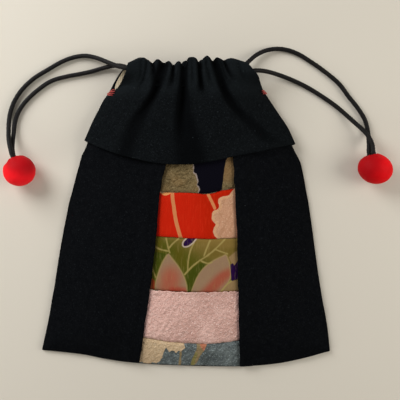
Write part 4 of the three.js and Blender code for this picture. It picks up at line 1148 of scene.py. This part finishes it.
PETAL_2 = [(25.6, -25.8), (27.8, -31.4), (28.6, -37.2), (28.2, -42.5), (22.2, -49.5), (20, -53), (3.2, -53), (3.6, -49.5), (6.2, -42.5), (9.1, -37.2), (13.0, -32.9), (18.8, -29.0), (23.5, -27.0)]
LEAVES = [
    [(-23, -24.0), (-11.9, -25.1), (-13.6, -27.8), (-15.6, -30.8), (-17.0, -34.4), (-18.7, -39.4), (-20.4, -34.6), (-22.5, -30.0)],
    [(-0.2, -39.2), (1.9, -37.2), (6.5, -33.0), (10.0, -31.0), (13.4, -32.2), (9.1, -36.4), (5.9, -42.5), (3.3, -49.3), (2.9, -53), (1.2, -53), (1.0, -44.5)],
]


def green_prints(x, y):
    p1, p2 = area(x, y, rounded(PETAL_1, 1)), area(x, y, rounded(PETAL_2, 1))
    purple = area(x, y, rounded([(-1.4, -20.6), (-1.2, -18.2), (0.9, -16.2), (3.2, -14), (7.6, -14), (5.6, -16.8), (4.0, -18.6), (1.2, -20.6)], 1))
    purple2 = area(x, y, np.array([(28.2, -32.4), (29.9, -31.4), (30.9, -32.9), (33.3, -29.5), (40, -29.5), (40, -40.6), (33.9, -41.3), (29.0, -42.8), (28.6, -37.7)]))
    return {
        "leaf": np.min([area(x, y, rounded(l, 1)) for l in LEAVES], axis=0),
        "petal": np.minimum(p1, p2),
        "petal_line": np.minimum(np.abs(p1), np.abs(p2)) - 0.42 + 0.12 * noise(x, y, 1.6, 131) + 50 * (y > -25.5),
        "blush_1": np.where(p1 < 0, 1, 0) * np.exp(-((x + 8.6 - 0.1 * (y + 30)) / 7.4) ** 2) * step(-26, -42, y),
        "blush_2": np.where(p2 < 0, 1, 0) * np.exp(-(((x - 21.5) * 0.72 - (y + 42.5) * 0.69 + 0.2) / 4.4) ** 2) * step(-29, -40, y),
        "blush_3": np.where(p1 < 0, 1, 0) * step(-44.5, -49.0, y) * np.exp(-((x + 4.5) / 6.5) ** 4),
        "twigs": strokes(x, y, BRANCHES, 0.95) + 0.12 * noise(x, y, 1.8, 133),
        "purple": np.minimum(purple, purple2),
        "purple_line": np.abs(purple - 0.55) - 0.42,
        "corner": area(x, y, rounded([(-23.5, -40.0), (-19.6, -42.0), (-19.3, -46), (-19.6, -53), (-27, -53)], 1)),
        "sand": np.minimum(area(x, y, np.array([(29.0, -42.8), (40, -41.0), (40, -53), (20, -53), (22.2, -49.9), (25.4, -45.6)])),
                           area(x, y, np.array([(27.2, -27.8), (31.5, -24.0), (40, -23), (40, -29.6), (33.2, -29.6), (30.9, -33.0), (29.0, -31.4)]))),
        "sun": step(-24, 14, y + 0.55 * (x - 6) + 22) ,
        "tone": noise(x, y, 7, 135) * 0.5 + 0.5,
    }


m = crepe("green_silk_print", 0.78, 0.2, 0.05)
m.base(srgb(76, 76, 17), srgb(120, 98, 48), m.ramp(m.attribute("sun"), 0.25, 1.0))
m.layer(m.ramp(m.attribute("tone"), 0.45, 0.95, 0.0, 0.45), srgb(88, 76, 18))
m.shape("leaf", srgb(58, 66, 12), 0.5, 0.9)
m.shape("sand", srgb(136, 110, 74), 0.4)
m.shape("petal", srgb(140, 112, 86))
m.layer(m.ramp(m.attribute("blush_1"), 0.05, 1.0, 0.0, 0.76), srgb(158, 74, 54))
m.layer(m.ramp(m.attribute("blush_2"), 0.05, 1.0, 0.0, 0.84), srgb(150, 66, 48))
m.layer(m.ramp(m.attribute("blush_3"), 0.05, 1.0, 0.0, 0.65), srgb(156, 46, 32))
m.shape("corner", srgb(140, 52, 30), 0.5, 0.9)
m.shape("petal_line", srgb(152, 130, 84), 0.3, 0.65)
m.shape("twigs", srgb(154, 136, 80), 0.35, 0.82)
m.shape("purple_line", srgb(178, 160, 144), 0.25, 0.9)
m.shape("purple", srgb(34, 8, 54))
m.layer(m.ramp(m.grain(1.0, 2, 0.5, (1, 0.16, 1)), 0.50, 0.70, 0.0, 0.16), srgb(150, 130, 80))
m.bump(m.grain(0.9, 2, 0.5, (1, 0.16, 1)), 0.13, 0.8)
m.bump(m.grain(0.5, 1), 0.05, 0.7)
patch_green = patch("green_patch", 0.36, 0.625, m.done(),
                    lambda x, y: 0.16 * noise(x, y, 12, 141) + 0.07 * ripples(x, y, 88, 2.4, 14, 143), green_prints, top=-0.75, bottom=-0.95)


# ---------------------------------------------------------------- pink patch
def pink_relief(x, y):
    d = -48.2 - y                                    # down from its top seam
    left = step(12, -14, x)
    flow = 0.22 * ripples(x, y, 52, 1.5, 7.5, 151) * (0.35 + 0.65 * left)
    peb = 0.27 * noise(x, y, 1.0, 153) + 0.09 * noise(x, y, 2.0, 155)
    lumps = 0.55 * step(4.5, 0.3, d) * (0.55 + 0.6 * noise(x, y * 0.4, 1.7, 157))
    bulge = 0.45 * np.exp(-((d - 1.4) / 1.3) ** 2)
    return flow + peb + lumps + bulge + 0.2 * noise(x, y, 14, 158)


def pink_prints(x, y):
    return {"tone": 0.5 + 0.5 * noise(x, y, 10, 161) - 0.01 * (x - 5), "light": step(22, -22, x) * step(-82, -50, y + 4)}


m = crepe("pink_chirimen", 0.82, 0.22, 0.08)
m.base(srgb(194, 154, 141), srgb(212, 173, 160), m.ramp(m.attribute("tone"), 0.1, 0.9))
m.layer(m.ramp(m.attribute("light"), 0.1, 1.0, 0.0, 0.5), srgb(214, 170, 158))
m.layer(m.ramp(m.grain(1.5, 3, 0.6), 0.50, 0.72, 0.0, 0.30), srgb(176, 128, 118))
m.layer(m.ramp(m.grain(0.85, 2, 0.6, (1, 1.5, 1)), 0.53, 0.70, 0.0, 0.80), srgb(238, 212, 203))
m.layer(m.ramp(m.grain(0.75, 2, 0.6, (1, 1.5, 1)), 0.45, 0.30, 0.0, 0.65), srgb(164, 110, 100))
# painted shade along the sides where the black panels lap over the patch
m.layer(m.ramp(m.attribute("edge"), 3.0, -1.0, 0.0, 0.5), srgb(170, 130, 136))
crepe_bump(m, 1.05, 0.34, 40)
patch_pink = patch("pink_patch", 0.12, 0.36, m.done(), pink_relief, pink_prints, top=-0.1, bottom=-0.7, wobble=0.3)

# ---------------------------------------------------------------- blue patch
CREAM_FLOWER = [(-40, -76), (-1.2, -79), (-1.0, -84.1), (-0.7, -86.3), (-3.1, -88.8), (-4.8, -88.0), (-6.3, -89.6), (-8.4, -87.6), (-10.4, -88.8), (-12.4, -86.0), (-14.0, -88.2), (-15.0, -92.2),
                (-16.6, -95.0), (-19.0, -96.9), (-22.0, -96.0), (-24.6, -99), (-28.0, -96), (-40, -100)]
STREAKS = [
    [(6.9, -82), (13.8, -82), (13.3, -85.2), (11.4, -88.5), (9.2, -91.4), (7.9, -94.4), (6.6, -98), (3.0, -98), (4.4, -92.6), (5.8, -89.4), (7.2, -86.6)],
    [(-4.0, -88.4), (-2.4, -88.6), (-3.0, -92.5), (-3.0, -99), (-5.2, -99), (-4.0, -93.0)],
]


def blue_prints(x, y):
    ragged = 0.4 * noise(x, y, 1.1, 171)
    return {
        "cream": area(x, y, np.array(CREAM_FLOWER)) + ragged,
        "streak": np.min([area(x, y, rounded(s, 1)) for s in STREAKS], axis=0) + ragged * 0.6,
        "coral": area(x, y, rounded([(9.0, -82), (14.0, -82), (13.0, -85.2), (11.6, -88.2), (10.4, -87.0), (9.4, -85)], 1)) + ragged * 0.5,
        "olive": area(x, y, rounded([(2.5, -99), (4.6, -92.0), (6.6, -88.6), (7.8, -90.0), (6.2, -94), (5.4, -99)], 1)) + ragged * 0.6,
        "flow": np.abs(ripples(x, y, 48, 1.6, 6, 173)) - 0.16,
        "tone": 0.5 + 0.5 * noise(x, y, 5, 175),
    }


def blue_relief(x, y):
    return 0.22 * ripples(x, y, 48, 1.4, 6, 173) + 0.26 * noise(x, y, 1.05, 177) + 0.12 * noise(x, y, 2.6, 178)


m = crepe("blue_chirimen_print", 0.85, 0.2, 0.06)
m.base(srgb(82, 89, 88), srgb(106, 114, 113), m.ramp(m.attribute("tone"), 0.1, 0.9))
m.layer(m.ramp(m.grain(0.9, 2, 0.6), 0.52, 0.70, 0.0, 0.85), srgb(146, 156, 156))
m.layer(m.ramp(m.grain(0.85, 2, 0.6), 0.45, 0.30, 0.0, 0.70), srgb(48, 56, 60))
m.shape("flow", srgb(58, 62, 66), 0.25, 0.45)
m.shape("cream", srgb(194, 168, 134), 0.2)
cr = m.ramp(m.attribute("cream"), 0.3, -0.3)
m.layer(m.math("MULTIPLY", m.ramp(m.grain(1.0, 3, 0.6), 0.53, 0.71, 0.0, 0.75), cr), srgb(218, 198, 168))
m.layer(m.math("MULTIPLY", m.ramp(m.grain(0.85, 2, 0.6), 0.46, 0.30, 0.0, 0.60), cr), srgb(128, 100, 68))
m.shape("streak", srgb(140, 120, 84), 0.3, 0.9)
m.shape("olive", srgb(128, 122, 70), 0.3, 0.8)
m.shape("coral", srgb(182, 110, 84), 0.4, 0.8)
crepe_bump(m, 1.15, 0.32, 42)
patch_blue = patch("blue_patch", 0, 0.12, m.done(), blue_relief, blue_prints, top=-0.65)

for piece, node_name, slot, flat in (
    (patch_khaki, "patch_khaki", "khaki_crepe", (0.057, 0.031)),
    (patch_red, "patch_red", "red_crepe", (0.061, 0.032)),
    (patch_green, "patch_green", "green_crepe", (0.066, 0.037)),
    (patch_pink, "patch_pink", "pink_crepe", (0.072, 0.036)),
    (patch_blue, "patch_blue", "blue_crepe", (0.075, 0.020)),
):
    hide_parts(node_name)


# ---------------------------------------------------------------- bar tacks
def thread(pts, r=0.27):
    line = resample(smooth_curve(pts, 12), 0.3)
    twist = lambda S, A: 1 + 0.14 * np.cos(2 * A + S * 6.0)
    v, f, _ = tube("t", line, r, 8, None, relief=twist)
    return v, f


def tack(name, x, y, side, material, spread, bulge):
    parts = []
    for dy, dx, lift, shift in spread:
        a, b, q = dy, -dy * 0.8 + 0.2, x + shift
        pts = [(q + side * bulge * 0.66, y + b, 1.0), (q + side * bulge * 0.96, y + b * 0.6, 1.8), (q + side * bulge, y + (a + b) / 2, 4.0), (q + side * bulge * 0.8, y + a * 0.8, 5.9),
               (q + side * bulge * 0.36, y + a, 7.5 + lift), (q - side * (0.6 + dx), y + a * 1.2, 8.7 + lift), (q - side * (1.5 + dx), y + a * 1.3, 9.1 + lift), (q - side * (2.0 + dx), y + a * 1.35, 8.4)]
        parts.append(thread(pts))
    v, f = join(parts)
    return new_mesh(name, v, f, material)


m = Cloth("red_thread", rough=0.6, specular=0.3, sheen=0.1)
m.base(srgb(156, 40, 36), srgb(206, 104, 94), m.ramp(m.grain(0.9, 2), 0.38, 0.70))
m.bump(m.grain(0.3, 1), 0.05, 0.6)
THREAD = m.done()
left_tack = tack("tack_left", -47.7, 76.9, -1, THREAD, [(-1.3, 0.2, 0.0, -0.7), (-0.4, 0.6, 0.25, -0.3), (0.6, 0.3, 0.1, 0.4), (1.4, -0.5, 0.0, 0.8)], 2.1)
right_tack = tack("tack_right", 50.2, 77.2, 1, THREAD, [(-0.8, -0.9, 0.0, 0.4), (0.0, -0.6, 0.15, 0.0), (0.8, -0.8, 0.0, -0.4)], 1.4)
for piece, node_name in ((left_tack, "left_bar_tack"), (right_tack, "right_bar_tack")):
    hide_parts(node_name)

# ---------------------------------------------------------------- table and light
floor_mat = bpy.data.materials.new("pale_table")
floor_mat.use_nodes = True
floor_bsdf = floor_mat.node_tree.nodes["Principled BSDF"]
floor_bsdf.inputs["Base Color"].default_value = (0.62, 0.573, 0.487, 1)
floor_bsdf.inputs["Roughness"].default_value = 0.75
floor_bsdf.inputs["Specular IOR Level"].default_value = 0.15
fm = bpy.data.meshes.new("table")
fm.from_pydata([(-3, -3, 0), (3, -3, 0), (3, 3, 0), (-3, 3, 0)], [], [(0, 1, 2, 3)])
fm.materials.append(floor_mat)
floor = bpy.data.objects.new("table", fm)
scene.collection.objects.link(floor)

world = bpy.data.worlds.new("studio")
scene.world = world
world.use_nodes = True
world.node_tree.nodes["Background"].inputs["Color"].default_value = (1.0, 0.975, 0.93, 1)
world.node_tree.nodes["Background"].inputs["Strength"].default_value = 0.29


def area_light(name, at_, look, size_, power, colour=(1, 1, 1)):
    d = bpy.data.lights.new(name, "AREA")
    d.shape = "DISK"
    d.size = size_
    d.energy = power
    d.color = colour
    o = bpy.data.objects.new(name, d)
    o.location = at_
    o.rotation_mode = "QUATERNION"
    o.rotation_quaternion = (Vector(look) - Vector(at_)).to_track_quat("-Z", "Y")
    scene.collection.objects.link(o)
    return o


area_light("window", (-0.46, 0.40, 0.38), (-0.05, 0.05, 0.0), 0.46, 4.7, (0.985, 1.0, 1.03))
area_light("right", (0.62, 0.02, 0.37), (0.08, 0.0, 0.0), 0.46, 2.75, (1.0, 0.985, 0.95))
area_light("low_left", (-0.50, -0.26, 0.17), (-0.10, 0.02, 0.0), 0.30, 0.60, (1.0, 0.99, 0.97))
scene.view_settings.view_transform = "Standard"
scene.view_settings.look = "None"
